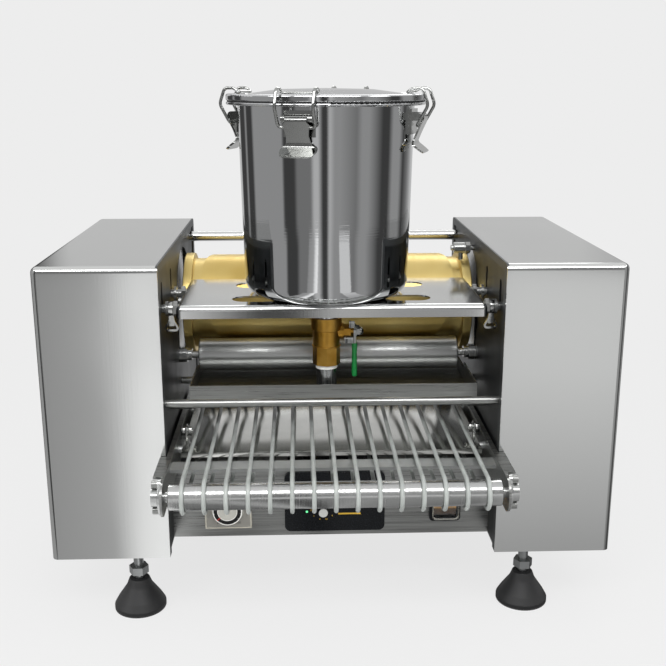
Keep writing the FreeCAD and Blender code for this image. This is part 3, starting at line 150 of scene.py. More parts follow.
def buildWorld(s):
    world = bpy.data.worlds.new("paleRoom")
    world.use_nodes = True
    bpy.context.scene.world = world
    tree = world.node_tree
    tree.nodes.clear()
    dim = addNode(tree, "ShaderNodeBackground", {"Color": (1, 1, 1, 1), "Strength": s["skyLight"]})
    pale = addNode(tree, "ShaderNodeBackground", {"Color": linear(s["background"]), "Strength": 1.0})
    mix = paleShader(tree, dim.outputs[0])
    tree.links.new(pale.outputs[0], mix.inputs[2])
    addNode(tree, "ShaderNodeOutputWorld", {"Surface": mix.outputs[0]})


def emptyMaterial(name):
    made = bpy.data.materials.new(name)
    made.use_nodes = True
    made.node_tree.nodes.clear()
    return made, made.node_tree


def buildFloor(s):
    bpy.ops.mesh.primitive_plane_add(size=s["floorSize"], location=(0, 0, 0))
    floor = bpy.context.object
    floor.name = "paleFloor"
    made, tree = emptyMaterial("paleFloor")
    matt = addNode(tree, "ShaderNodeBsdfDiffuse", {"Color": linear(s["background"])})
    pale = addNode(tree, "ShaderNodeEmission", {"Color": linear(s["background"]), "Strength": 1.0})
    # the plain background tone, with a share of real shading near the object that keeps its shadow
    where = addNode(tree, "ShaderNodeTexCoord")
    far = addNode(tree, "ShaderNodeVectorMath", {0: where.outputs["Object"]}, operation="LENGTH")
    share = addNode(tree, "ShaderNodeMapRange", {"Value": far.outputs["Value"], "From Min": s["shadeNear"],
                                                 "From Max": s["shadeFar"], "To Min": s["floorShade"],
                                                 "To Max": 0.0})
    both = addNode(tree, "ShaderNodeMixShader", {0: share.outputs[0], 1: pale.outputs[0], 2: matt.outputs[0]})
    mix = paleShader(tree, matt.outputs[0])
    tree.links.new(both.outputs[0], mix.inputs[2])
    addNode(tree, "ShaderNodeOutputMaterial", {"Surface": mix.outputs[0]})
    floor.data.materials.append(made)


# applies the active object's place, turn and scale to its mesh
def applyPlace():
    bpy.ops.object.transform_apply(location=True, rotation=True, scale=True)


def onlyInReflections(card, name, material):
    card.name = name
    applyPlace()
    card.data.materials.append(material)
    card.visible_camera = False
    card.visible_diffuse = False
    card.visible_shadow = False
    card.visible_transmission = False
    card.visible_volume_scatter = False


def bandMaterial(bands):
    made, tree = emptyMaterial("greyFlags")
    where = addNode(tree, "ShaderNodeTexCoord")
    parts = addNode(tree, "ShaderNodeSeparateXYZ", {0: where.outputs["Object"]})
    ahead = addNode(tree, "ShaderNodeMath", {0: parts.outputs["Y"], 1: -1.0}, operation="MULTIPLY")
    angle = addNode(tree, "ShaderNodeMath", {0: parts.outputs["X"], 1: ahead.outputs[0]}, operation="ARCTAN2")
    share = addNode(tree, "ShaderNodeMapRange", {"Value": angle.outputs[0], "From Min": -math.pi,
                                                 "From Max": math.pi})
    ramp = addNode(tree, "ShaderNodeValToRGB", {"Fac": share.outputs[0]})
    rampStops(ramp.color_ramp, [((a + 180) / 360, (g, g, g, 1)) for a, g in bands])
    glow = addNode(tree, "ShaderNodeEmission", {"Color": ramp.outputs["Color"], "Strength": 1.0})
    addNode(tree, "ShaderNodeOutputMaterial", {"Surface": glow.outputs[0]})
    return made


def buildFlags(s, bands):
    material = bandMaterial(bands)
    height = s["ringHigh"] - s["ringLow"]
    bpy.ops.mesh.primitive_cylinder_add(vertices=s["ringCorners"], radius=s["ringRadius"], depth=height,
                                        end_fill_type="NOTHING", location=(0, 0, s["ringLow"] + height / 2))
    onlyInReflections(bpy.context.object, "greyFlags", material)
    bpy.ops.mesh.primitive_circle_add(vertices=s["ringCorners"], radius=s["matRadius"], fill_type="NGON",
                                      location=(0, 0, s["matHeight"]))
    onlyInReflections(bpy.context.object, "greyMat", material)


# one mat on the floor, a wedge between two slopes
def buildMat(m, w):
    point = w["point"]
    made, tree = emptyMaterial(m["name"])
    where = addNode(tree, "ShaderNodeTexCoord")
    parts = addNode(tree, "ShaderNodeSeparateXYZ", {0: where.outputs["Object"]})
    aside = addNode(tree, "ShaderNodeMath", {0: parts.outputs["X"], 1: point[0]}, operation="SUBTRACT")
    away = addNode(tree, "ShaderNodeMath", {0: point[1], 1: parts.outputs["Y"]}, operation="SUBTRACT")
    over = aside.outputs[0] if m["by"] == "angle" else 1.0
    ratio = addNode(tree, "ShaderNodeMath", {0: over, 1: away.outputs[0]}, operation="DIVIDE")
    low, high = m["tones"][0][0], m["tones"][-1][0]
    share = addNode(tree, "ShaderNodeMapRange", {"Value": ratio.outputs[0], "From Min": low, "From Max": high})
    ramp = addNode(tree, "ShaderNodeValToRGB", {"Fac": share.outputs[0]})
    brightest = max(tone for place, tone in m["tones"])
    rampStops(ramp.color_ramp, [((place - low) / (high - low), [tone / brightest] * 3 + [1])
                                for place, tone in m["tones"]])
    glow = addNode(tree, "ShaderNodeEmission", {"Color": ramp.outputs["Color"], "Strength": brightest})
    addNode(tree, "ShaderNodeOutputMaterial", {"Surface": glow.outputs[0]})
    bpy.ops.mesh.primitive_plane_add(size=1, location=(0, 0, 0))
    card = bpy.context.object
    corners = [(slope, far) for far in w["reach"] for slope in m["slopes"]]
    for vertex, (slope, far) in zip(card.data.vertices, corners):
        vertex.co = (point[0] + slope * far, point[1] - far, w["height"])
    onlyInReflections(card, m["name"], made)


def buildLamps(rows):
    for name, place, aim, wide, tall, power in rows:
        lamp = bpy.data.lights.new(name, "AREA")
        lamp.shape = "RECTANGLE"
        lamp.size = wide
        lamp.size_y = tall
        lamp.energy = power
        holder = bpy.data.objects.new(name, lamp)
        holder.location = place
        holder.rotation_euler = (Vector(aim) - Vector(place)).to_track_quat("-Z", "Y").to_euler()
        bpy.context.scene.collection.objects.link(holder)


buildWorld(studio)
buildFloor(studio)
buildFlags(studio, flagBands)
buildMat(leftMat, wedges)
buildMat(rightMat, wedges)
buildLamps(lamps)
bpy.context.scene.view_settings.view_transform = "Standard"
print("studio lit")

# most of a noise's values lie between these two
noiseLow, noiseHigh = 0.3, 0.7


# lines: streaks of a noise drawn out along the directions with small scale
def streaks(tree, scale, detail=3.0):
    where = addNode(tree, "ShaderNodeTexCoord")
    drawn = addNode(tree, "ShaderNodeMapping", {"Vector": where.outputs["Object"], "Scale": scale})
    return addNode(tree, "ShaderNodeTexNoise", {"Vector": drawn.outputs[0], "Scale": 1.0, "Detail": detail})


def spreadNoise(tree, value, low, high):
    return addNode(tree, "ShaderNodeMapRange", {"Value": value, "From Min": noiseLow, "From Max": noiseHigh,
                                                "To Min": low, "To Max": high})


def roughBetween(tree, shader, value, low, high):
    spread = spreadNoise(tree, value, low, high)
    tree.links.new(spread.outputs[0], shader.inputs["Roughness"])


def bumpFrom(tree, shader, height, strength, distance):
    bump = addNode(tree, "ShaderNodeBump", {"Height": height, "Strength": strength, "Distance": distance})
    tree.links.new(bump.outputs[0], shader.inputs["Normal"])


def tintBetween(tree, shader, value, dark, light):
    ramp = addNode(tree, "ShaderNodeValToRGB", {"Fac": value})
    rampStops(ramp.color_ramp, [(noiseLow, linear(dark)), (noiseHigh, linear(light))])
    tree.links.new(ramp.outputs["Color"], shader.inputs["Base Color"])


# polished stainless sheet: cold rolled and buffed, a soft mirror with faint upright drag lines
def polishedSheet():
    made, tree, shader = startMaterial("polishedStainlessSheet", "#D9DAD9", 1.0, 0.12)
    drag = streaks(tree, (700, 700, 12))  # 1.4 mm lines, coarser than the real ones so that they show
    cloud = streaks(tree, (9, 9, 9), 2.0)  # 110 mm clouds
    roughBetween(tree, shader, cloud.outputs["Fac"], 0.1, 0.15)
    tintBetween(tree, shader, cloud.outputs["Fac"], "#D6D7D6", "#DBDCDB")
    bumpFrom(tree, shader, drag.outputs["Fac"], 0.03, 0.0003)
    return made


# covers: the same sheet, but the lip folded in at the machine's middle is left rough and painted darker, as
# painted shade in the gap by the drum. The lip lies nearer to the middle than across and further back than front
coverLipShade = {"across": 161.8, "front": -119.5, "roughness": 0.5, "tint": "#5A5C5D"}


def coverSheet(shadedLipRow):
    made, tree, shader = startMaterial("coverSheetShadedLip", "#D9DAD9", 1.0, 0.12)
    where = addNode(tree, "ShaderNodeTexCoord")
    parts = addNode(tree, "ShaderNodeSeparateXYZ", {0: where.outputs["Object"]})
    aside = addNode(tree, "ShaderNodeMath", {0: parts.outputs["X"]}, operation="ABSOLUTE")
    inner = addNode(tree, "ShaderNodeMath", {0: aside.outputs[0], 1: shadedLipRow["across"] * mm},
                    operation="LESS_THAN")
    behind = addNode(tree, "ShaderNodeMath", {0: parts.outputs["Y"], 1: shadedLipRow["front"] * mm},
                     operation="GREATER_THAN")
    shadedLip = addNode(tree, "ShaderNodeMath", {0: inner.outputs[0], 1: behind.outputs[0]}, operation="MULTIPLY")
    drag = streaks(tree, (700, 700, 12))  # 1.4 mm lines, coarser than the real ones so that they show
    cloud = streaks(tree, (9, 9, 9), 2.0)  # 110 mm clouds
    buffed = spreadNoise(tree, cloud.outputs["Fac"], 0.1, 0.15)
    rough = addNode(tree, "ShaderNodeMix", {0: shadedLip.outputs[0], 2: buffed.outputs[0], 3: shadedLipRow["roughness"]})
    # the lip's dark tint is painted shade
    tint = addNode(tree, "ShaderNodeMix", {0: shadedLip.outputs[0], 6: linear("#D9DAD9"), 7: linear(shadedLipRow["tint"])},
                   data_type="RGBA")
    tree.links.new(rough.outputs[0], shader.inputs["Roughness"])
    tree.links.new(tint.outputs[2], shader.inputs["Base Color"])
    bumpFrom(tree, shader, drag.outputs["Fac"], 0.03, 0.0003)
    return made


# mill finish stainless: the inner plates, never buffed and dull, their dark base colour painted shade for the
# dark inside that they mirror, with random clouds of tone
def millSheet():
    made, tree, shader = startMaterial("millStainlessPaintedShade", "#3E4041", 1.0, 0.45)
    drag = streaks(tree, (900, 14, 900))  # 1.1 mm rolling lines along Y
    cloud = streaks(tree, (22, 22, 22), 4.0)  # 45 mm clouds
    roughBetween(tree, shader, cloud.outputs["Fac"], 0.38, 0.52)
    tintBetween(tree, shader, cloud.outputs["Fac"], "#333536", "#494B4C")
    bumpFrom(tree, shader, drag.outputs["Fac"], 0.1, 0.0003)
    return made


# spun stainless bucket: buffed round its wall, nearly a mirror
def buffedBucket():
    made, tree, shader = startMaterial("buffedStainlessBucket", "#D2D3D4", 1.0, 0.04)
    rings = streaks(tree, (25, 25, 900))  # 1.1 mm rings left by the buffing wheel, drawn coarse
    sway = streaks(tree, (14, 14, 5), 1.0)  # 70 mm waves in the wall, 200 mm tall
    roughBetween(tree, shader, rings.outputs["Fac"], 0.025, 0.06)
    both = addNode(tree, "ShaderNodeMath", {0: sway.outputs["Fac"], 1: 6.0, 2: rings.outputs["Fac"]},
                   operation="MULTIPLY_ADD")
    bumpFrom(tree, shader, both.outputs[0], 0.06, 0.0004)
    return made


# bright nickel plate on the pressed latches and bent wires
def nickelPlate():
    made, tree, shader = startMaterial("brightNickelPlate", "#ACADAB", 1.0, 0.1)
    cloud = streaks(tree, (260, 260, 260), 2.0)  # 4 mm clouds of the plating bath
    roughBetween(tree, shader, cloud.outputs["Fac"], 0.07, 0.18)
    bumpFrom(tree, shader, cloud.outputs["Fac"], 0.05, 0.0002)
    return made


# brushed stainless: belt ground along X, a satin with long fine lines
def brushedSheet():
    made, tree, shader = startMaterial("brushedStainlessSheet", "#A3A4A2", 1.0, 0.32)
    lines = streaks(tree, (14, 900, 900))  # 1.1 mm lines
    roughBetween(tree, shader, lines.outputs["Fac"], 0.24, 0.4)
    tintBetween(tree, shader, lines.outputs["Fac"], "#90918F", "#B2B3B1")
    bumpFrom(tree, shader, lines.outputs["Fac"], 0.14, 0.0003)
    return made


# turned steel: bright with fine rings round X
def turnedSteel():
    made, tree, shader = startMaterial("turnedSteel", "#C2C3C2", 1.0, 0.22)
    rings = streaks(tree, (1100, 12, 12))  # 0.9 mm feed marks, drawn coarse
    roughBetween(tree, shader, rings.outputs["Fac"], 0.16, 0.28)
    bumpFrom(tree, shader, rings.outputs["Fac"], 0.08, 0.0003)
    return made


# bed plate: bright rolled stainless, clean enough to mirror the belts that run over it
def rolledBed():
    made, tree, shader = startMaterial("brightRolledStainless", "#D3D4D0", 1.0, 0.14)
    lines = streaks(tree, (900, 16, 900))  # 1.1 mm rolling lines along Y
    cloud = streaks(tree, (30, 30, 30), 3.0)  # 33 mm clouds
    roughBetween(tree, shader, cloud.outputs["Fac"], 0.1, 0.18)
    tintBetween(tree, shader, cloud.outputs["Fac"], "#C9CAC6", "#DADAD6")
    bumpFrom(tree, shader, lines.outputs["Fac"], 0.06, 0.0003)
    return made


# cross bars: cold drawn steel with a dull silver skin
def drawnBar():
    made, tree, shader = startMaterial("coldDrawnSteel", "#C4C6C5", 1.0, 0.46)
    lines = streaks(tree, (16, 700, 700))  # 1.4 mm drawing lines along X
    roughBetween(tree, shader, lines.outputs["Fac"], 0.4, 0.54)
    bumpFrom(tree, shader, lines.outputs["Fac"], 0.1, 0.0003)
    return made


# nozzle: drawn stainless tube with upright lines
def drawnTube():
    made, tree, shader = startMaterial("drawnStainlessTube", "#C6C8C8", 1.0, 0.24)
    lines = streaks(tree, (900, 900, 12))  # 1.1 mm lines
    roughBetween(tree, shader, lines.outputs["Fac"], 0.18, 0.32)
    tintBetween(tree, shader, lines.outputs["Fac"], "#ABADAD", "#D5D7D7")
    bumpFrom(tree, shader, lines.outputs["Fac"], 0.12, 0.0003)
    return made


# satin aluminium: turned and blasted, greyer and softer than the steel
def satinAluminium():
    made, tree, shader = startMaterial("satinAluminium", "#CDCECD", 1.0, 0.34)
    rings = streaks(tree, (900, 10, 10))  # 1.1 mm turning rings
    grain = streaks(tree, (1500, 1500, 1500), 1.0)  # 0.7 mm grain of the blasting
    roughBetween(tree, shader, rings.outputs["Fac"], 0.28, 0.42)
    bumpFrom(tree, shader, grain.outputs["Fac"], 0.05, 0.0002)
    return made


# drum brass: turned and polished by running, golden with paler worn patches
def drumBrass():
    made, tree, shader = startMaterial("turnedDrumBrass", "#DAC179", 1.0, 0.36)
    rings = streaks(tree, (750, 7, 7))  # 1.3 mm rings
    cloud = streaks(tree, (16, 16, 16), 2.0)  # 60 mm patches
    roughBetween(tree, shader, rings.outputs["Fac"], 0.31, 0.44)
    tintBetween(tree, shader, cloud.outputs["Fac"], "#CFB268", "#E3CD8A")
    bumpFrom(tree, shader, rings.outputs["Fac"], 0.1, 0.0003)
    return made


# valve brass: forged, tumbled and lightly plated, an even satin skin
def valveBrass():
    made, tree, shader = startMaterial("forgedValveBrass", "#CB9A42", 1.0, 0.34)
    skin = streaks(tree, (600, 600, 600), 2.0)  # 1.7 mm pits of the forging skin
    cloud = streaks(tree, (60, 60, 60), 2.0)  # 17 mm clouds
    roughBetween(tree, shader, cloud.outputs["Fac"], 0.3, 0.42)
    tintBetween(tree, shader, cloud.outputs["Fac"], "#BA8833", "#DAAC55")
    bumpFrom(tree, shader, skin.outputs["Fac"], 0.14, 0.0003)
    return made


# heater rod: stainless sheath turned straw and brown by the heat
def stainedSheath():
    made, tree, shader = startMaterial("heatStainedSheath", "#7A6A58", 1.0, 0.4)
    cloud = streaks(tree, (40, 120, 120), 3.0)  # stains 25 mm long, 8 mm across
    tintBetween(tree, shader, cloud.outputs["Fac"], "#5E5146", "#8E7A5F")
    return made


# stove enamel on the motor: thin paint with a slight orange peel
def motorEnamel():
    made, tree, shader = startMaterial("motorEnamel", "#3C3E40", 0.0, 0.42, 1.5)
    peel = streaks(tree, (500, 500, 500), 1.0)  # 2 mm orange peel
    bumpFrom(tree, shader, peel.outputs["Fac"], 0.1, 0.0003)
    roughBetween(tree, shader, peel.outputs["Fac"], 0.38, 0.48)
    return made


# moulded plastic: fine spark texture of about 1 mm from the mould
def mouldedPlastic(name, colour, roughness, ior=1.5):
    made, tree, shader = startMaterial(name, colour, 0.0, roughness, ior)
    spark = streaks(tree, (900, 900, 900), 2.0)  # 1.1 mm grit
    bumpFrom(tree, shader, spark.outputs["Fac"], 0.12, 0.0002)
    roughBetween(tree, shader, spark.outputs["Fac"], roughness - 0.05, roughness + 0.07)
    return made


# amber rocker: clear moulding, with painted shade over its base and a painted highlight on its top, by height
def amberRocker(low, high):
    made, tree, shader = startMaterial("amberRockerPaintedHighlight", "#A87440", 0.0, 0.16, 1.5)
    where = addNode(tree, "ShaderNodeTexCoord")
    parts = addNode(tree, "ShaderNodeSeparateXYZ", {0: where.outputs["Object"]})
    height = addNode(tree, "ShaderNodeMapRange", {"Value": parts.outputs["Z"], "From Min": low,
                                                  "From Max": high})
    tone = addNode(tree, "ShaderNodeValToRGB", {"Fac": height.outputs[0]})
    # dark low down as painted shade, pale at the top as a painted highlight
    rampStops(tone.color_ramp, [(0.0, linear("#2A1C13")), (0.45, linear("#4A3018")), (0.7, linear("#D9A869"))])
    tree.links.new(tone.outputs["Color"], shader.inputs["Base Color"])
    return made


# clear acrylic of the splash cover over the switch, a thin blown film that bends little light
def clearAcrylic():
    made, tree, shader = startMaterial("clearAcrylic", "#FBFCFA", 0.0, 0.02, 1.22)
    shader.inputs["Transmission Weight"].default_value = 1.0
    return made


# dial face: a printed black band between two white rings on a silver grey knob, each from a radius outwards
dialSpan = 20
dialRings = [(0, "#B9B8B0"), (9.4, "#F2F1EC"), (10.0, "#101010"), (13.8, "#F2F1EC"), (14.8, "#A9A79F")]


def dialFace(middle):
    made, tree, shader = startMaterial("printedDialPlastic", "#B9B8B0", 0.0, 0.3, 1.5)
    where = addNode(tree, "ShaderNodeTexCoord")
    out = addNode(tree, "ShaderNodeVectorMath", {0: where.outputs["Object"], 1: middle}, operation="SUBTRACT")
    flat = addNode(tree, "ShaderNodeVectorMath", {0: out.outputs[0], 1: (1, 0, 1)}, operation="MULTIPLY")
    radius = addNode(tree, "ShaderNodeVectorMath", {0: flat.outputs[0]}, operation="LENGTH")
    share = addNode(tree, "ShaderNodeMath", {0: radius.outputs["Value"], 1: dialSpan * mm}, operation="DIVIDE")
    ramp = addNode(tree, "ShaderNodeValToRGB", {"Fac": share.outputs[0]})
    ramp.color_ramp.interpolation = "CONSTANT"
    rampStops(ramp.color_ramp, [(place / dialSpan, linear(colour)) for place, colour in dialRings])
    tree.links.new(ramp.outputs["Color"], shader.inputs["Base Color"])
    return made


# extruded polyurethane cord: milky, half clear, with a soft sheen
def beltCord():
    made, tree, shader = startMaterial("polyurethaneBeltCord", "#A0A4A1", 0.0, 0.36, 1.5)
    shader.inputs["Subsurface Weight"].default_value = 0.3
    shader.inputs["Subsurface Radius"].default_value = (0.002, 0.002, 0.002)
    cloud = streaks(tree, (180, 60, 60), 2.0)  # 6 by 17 mm clouds
    tintBetween(tree, shader, cloud.outputs["Fac"], "#969A97", "#ABAFAC")
    return made


# levelling foot: moulded rubber bell under a zinc plated screw
bellHeight = 33.5


def footRubberAndScrew():
    made, tree, shader = startMaterial("rubberFootWithScrew", "#1B1B1C", 0.0, 0.55)
    where = addNode(tree, "ShaderNodeTexCoord")
    parts = addNode(tree, "ShaderNodeSeparateXYZ", {0: where.outputs["Object"]})
    metal = addNode(tree, "ShaderNodeMath", {0: parts.outputs["Z"], 1: bellHeight * mm},
                    operation="GREATER_THAN")
    tint = addNode(tree, "ShaderNodeMix", {0: metal.outputs[0], 6: linear("#1B1B1C"), 7: linear("#A9ABAB")},
                   data_type="RGBA")
    rough = addNode(tree, "ShaderNodeMapRange", {"Value": metal.outputs[0], "To Min": 0.5, "To Max": 0.28})
    tree.links.new(tint.outputs[2], shader.inputs["Base Color"])
    tree.links.new(metal.outputs[0], shader.inputs["Metallic"])
    tree.links.new(rough.outputs[0], shader.inputs["Roughness"])
    grain = streaks(tree, (700, 700, 700), 2.0)  # 1.4 mm grain
    bumpFrom(tree, shader, grain.outputs["Fac"], 0.1, 0.0003)
    return made


def middleOf(name):
    low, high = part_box(name)
    return (Vector(low) + Vector(high)) / 2


sheet = polishedSheet()
shadedMill = millSheet()
bucketMetal = buffedBucket()
nickel = nickelPlate()
brushed = brushedSheet()
turned = turnedSteel()
covers = coverSheet(coverLipShade)
bars = drawnBar()
slotMaterials = {
    "polished_steel": sheet, "brushed_steel": brushed, "machined_steel": turned,
    "aluminium": satinAluminium(), "drum_brass": drumBrass(), "valve_brass": valveBrass(),
    "heater": stainedSheath(), "motor_paint": motorEnamel(),
    "black_plastic": mouldedPlastic("blackMouldedPlastic", "#0B0E12", 0.26, ior=1.38),
    "grey_plastic": mouldedPlastic("greyThermostatPlastic", "#8F8D86", 0.42),
    "dial_plastic": dialFace(middleOf("thermostat_dial")),
    "rocker_plastic": amberRocker(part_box("rocker_switch")[0][2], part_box("rocker_switch")[1][2]),
    "belt_rubber": beltCord(), "seal_rubber": mouldedPlastic("blackSealRubber", "#222223", 0.6),
    "foot_rubber": footRubberAndScrew(), "grip_plastic": mouldedPlastic("greenDippedGrip", "#0F7F3A", 0.35),
}
nodeMaterials = {"bucket": bucketMetal, "bucket_lid": bucketMetal, "latch_bases": nickel,
                 "left_side_plate": shadedMill, "right_side_plate": shadedMill, "left_clamp_lever": nickel,
                 "right_clamp_lever": nickel, "batter_tray": brushed, "bed_plate": rolledBed(),
                 "left_cover": covers, "right_cover": covers, "conveyor_braces": bars, "front_tie_rod": brushed,
                 "valve_nozzle": drawnTube(), "valve_lever": nickel}
for count in range(1, 5):
    nodeMaterials[f"latch_{count}_lever"] = nickel
    nodeMaterials[f"latch_{count}_bail"] = nickel


def dressNode(name, material):
    data = nodes[name].data
    data.materials.clear()
    data.materials.append(material)


for row in frame["record"]["subparts"]:
    dressNode(row["node"], nodeMaterials.get(row["node"], slotMaterials[row["material_slot"]]))
print("solids dressed")

whitePrint = mouldedPlastic("whitePrintInk", "#EDEDE6", 0.4)
yellowPrint = mouldedPlastic("yellowPrintInk", "#D9AE2E", 0.4)
darkPrint = mouldedPlastic("darkPrintInk", "#2A2926", 0.5)
borderPrint = mouldedPlastic("paleBorderInk", "#CBC6B6", 0.4)
redPrint = mouldedPlastic("redPrintInk", "#C4332B", 0.4)


def selectOnly(thing):
    bpy.ops.object.select_all(action="DESELECT")
    thing.select_set(True)
    bpy.context.view_layer.objects.active = thing


# edges flatter than this are smooth, and a face faces a direction when its normal has this much of it
smoothAngle = math.radians(35)
facing = 0.9


# applies the place, then names, paints and hangs a finished piece on its body
def finishPiece(thing, name, material, body):
    selectOnly(thing)
    applyPlace()
    bpy.ops.object.shade_smooth_by_angle(angle=smoothAngle)
    thing.name = name
    thing.data.materials.clear()
    thing.data.materials.append(material)
    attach(thing, body)
    return thing


def applyModifiers(thing):
    selectOnly(thing)
    for modifier in list(thing.modifiers):
        bpy.ops.object.modifier_apply(modifier=modifier.name)


def soften(thing, width, segments=2):
    soft = thing.modifiers.new("soft", "BEVEL")
    soft.width = width * mm
    soft.segments = segments
    soft.limit_method = "ANGLE"
    applyModifiers(thing)


# gives a sheet its thickness: inwards, or half to each side with an offset of 0
def thicken(thing, thickness, offset=-1):
    thick = thing.modifiers.new("thick", "SOLIDIFY")
    thick.thickness = thickness * mm
    thick.offset = offset
    applyModifiers(thing)


def joinAll(things):
    selectOnly(things[0])
    for thing in things:
        thing.select_set(True)
    bpy.ops.object.join()
    return things[0]


def addBar(middle, size):
    bpy.ops.object.select_all(action="DESELECT")
    bpy.ops.mesh.primitive_cube_add(size=1, location=middle, scale=size)
    return bpy.context.object


def addRound(middle, radius, length, corners=48, turn=(0, 0, 0), ends="NGON"):
    bpy.ops.object.select_all(action="DESELECT")
    bpy.ops.mesh.primitive_cylinder_add(vertices=corners, radius=radius * mm, depth=length * mm,
                                        end_fill_type=ends, rotation=turn, location=middle)
    return bpy.context.object


# a thin flat frame that faces the front, its corners rounded where a radius is given
def flatFrame(middle, wide, tall, width, thick, corner=0):
    bpy.ops.object.select_all(action="DESELECT")
    bpy.ops.mesh.primitive_plane_add(size=1, rotation=(math.pi / 2, 0, 0), location=middle)
    made = bpy.context.object
    made.scale = (wide * mm, tall * mm, 1)
    applyPlace()
    bpy.ops.object.mode_set(mode="EDIT")
    bpy.ops.mesh.select_all(action="SELECT")
    if corner:
        bpy.ops.mesh.bevel(offset=corner * mm, segments=6, affect="VERTICES")
        bpy.ops.mesh.select_all(action="SELECT")
    bpy.ops.mesh.inset(thickness=width * mm)
    bpy.ops.mesh.delete(type="FACE")
    bpy.ops.object.mode_set(mode="OBJECT")
    thicken(made, thick, 0)
    return made


# copies of a bar turned about an axis through the centre along Y, joined to one mesh
def spreadAround(bar, centre, angles):
    copies = []
    for angle in angles:
        made = bar.copy()
        made.data = bar.data.copy()
        bpy.context.scene.collection.objects.link(made)
        turn = Matrix.Rotation(math.radians(angle), 4, "Y")
        made.matrix_world = Matrix.Translation(centre) @ turn @ Matrix.Translation(-centre) @ bar.matrix_world
        copies.append(made)
    bpy.data.objects.remove(bar)
    return joinAll(copies)


ink = {"lift": 0.02, "thick": 0.04}


# numbers round a dial, read from the front, as thin ink
def addNumbers(words, places, height):
    made = []
    for word, place in zip(words, places):
        bpy.ops.object.select_all(action="DESELECT")
        bpy.ops.object.text_add(location=place, rotation=(math.pi / 2, 0, 0))
        text = bpy.context.object
        text.data.body = word
        text.data.align_x = "CENTER"
        text.data.align_y = "CENTER"
        text.data.size = height
        text.data.extrude = ink["thick"] * mm
        bpy.ops.object.convert(target="MESH")
        made.append(text)
    return joinAll(made)


def around(centre, y, radius, angle):
    a = math.radians(angle)
    return Vector((centre.x + radius * math.sin(a), y, centre.z + radius * math.cos(a)))


# thermostat: pointer and ticks on the dial, numbers and a pale border on its plate. The pointer covers one tick
thermostat = {"pointer": (0.9, 0.3, 4.4), "pointerRadius": 11.8, "pointerAngle": -132,
              "tick": (0.35, 0.2, 0.8), "tickRadius": 13.2, "tickStep": 25, "coveredTick": -125, "sweep": 150,
              "numberRadius": 20.0, "numberHeight": 3.4, "numberStep": 60, "degrees": range(50, 301, 50),
              "border": 46.6, "borderWidth": 0.9, "borderLift": 0.05, "borderThick": 0.2}


def dressThermostat(t):
    dial = middleOf("thermostat_dial")
    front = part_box("thermostat_dial")[0][1]
    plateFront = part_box("thermostat_case")[0][1]
    pointer = addBar(Vector((dial.x, front, dial.z + t["pointerRadius"] * mm)), Vector(t["pointer"]) * mm)
    pointer = spreadAround(pointer, dial, [t["pointerAngle"]])
    finishPiece(pointer, "dialPointer", redPrint, "dial")
    tick = addBar(Vector((dial.x, front, dial.z + t["tickRadius"] * mm)), Vector(t["tick"]) * mm)
    angles = [a for a in range(-t["sweep"], t["sweep"] + 1, t["tickStep"]) if a != t["coveredTick"]]
    finishPiece(spreadAround(tick, dial, angles), "dialTicks", whitePrint, "dial")
    places = [around(dial, plateFront - ink["lift"] * mm, t["numberRadius"] * mm, a)
              for a in range(-t["sweep"], t["sweep"] + 1, t["numberStep"])]
    numbers = addNumbers([str(n) for n in t["degrees"]], places, t["numberHeight"] * mm)
    finishPiece(numbers, "thermostatNumbers", darkPrint, "housing")
    border = flatFrame((dial.x, plateFront - t["borderLift"] * mm, dial.z), t["border"], t["border"],
                       t["borderWidth"], t["borderThick"])
    finishPiece(border, "thermostatBorder", borderPrint, "housing")


dressThermostat(thermostat)
print("thermostat dressed")

# bed plate: reaches nearly to the arms, its front folded down, with a bolted ear near each edge.
# The rounds of a bolt are given across from the ear: start, length, radius and corners
bed = {"half": 149.0, "fold": 3.0, "wall": 2.0, "soft": 0.3, "earAcross": 147.0, "earBack": 37.0,
       "ear": (2.0, 10.0, 15.0), "boltUp": 9.0,
       "bolt": [(-6.4, 12.6, 2.4, 24), (1.2, 4.4, 4.7, 6), (-5.4, 4.2, 4.7, 6), (-1.9, 0.8, 5.6, 32)]}


def widenBed(b):
    low, high = (Vector(corner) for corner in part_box("bed_plate"))
    middle = (low + high) / 2
    wide = Vector((2 * b["half"] * mm, high.y - low.y, high.z - low.z))
    plate = addBar(middle, wide)
    applyPlace()
    crease = low.y + b["wall"] * mm
    bpy.ops.object.mode_set(mode="EDIT")
    bpy.ops.mesh.select_all(action="SELECT")
    bpy.ops.mesh.bisect(plane_co=(0, crease, 0), plane_no=(0, 1, 0))
    bpy.ops.mesh.select_all(action="DESELECT")
    bpy.ops.object.mode_set(mode="OBJECT")
    for face in plate.data.polygons:
        face.select = face.normal.z < -facing and face.center.y < crease
    bpy.ops.object.mode_set(mode="EDIT")
    bpy.ops.mesh.extrude_region_move(TRANSFORM_OT_translate={"value": (0, 0, -b["fold"] * mm)})
    bpy.ops.object.mode_set(mode="OBJECT")
    soften(plate, b["soft"])
    finishPiece(plate, "bedPlate", nodeMaterials["bed_plate"], "housing")
    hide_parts("bed_plate")
    for side, name in ((-1, "left"), (1, "right")):
        foot = Vector((side * b["earAcross"] * mm, low.y + b["earBack"] * mm, high.z))
        boltEar(b, side, foot, name)


def boltEar(b, side, foot, name):
    size = Vector(b["ear"]) * mm
    ear = addBar(foot + Vector((0, 0, size.z / 2)), size)
    applyPlace()
    soften(ear, b["soft"])
    finishPiece(ear, name + "BedEar", turned, "housing")
    rounds = []
    for start, length, radius, corners in b["bolt"]:
        across = side * (start + length / 2) * mm
        middle = foot + Vector((across, 0, b["boltUp"] * mm))
        rounds.append(addRound(middle, radius, length, corners, (0, math.pi / 2, 0)))
        soften(rounds[-1], b["soft"])
    finishPiece(joinAll(rounds), name + "BedBolt", nickel, "housing")


widenBed(bed)
print("bed plate folded")

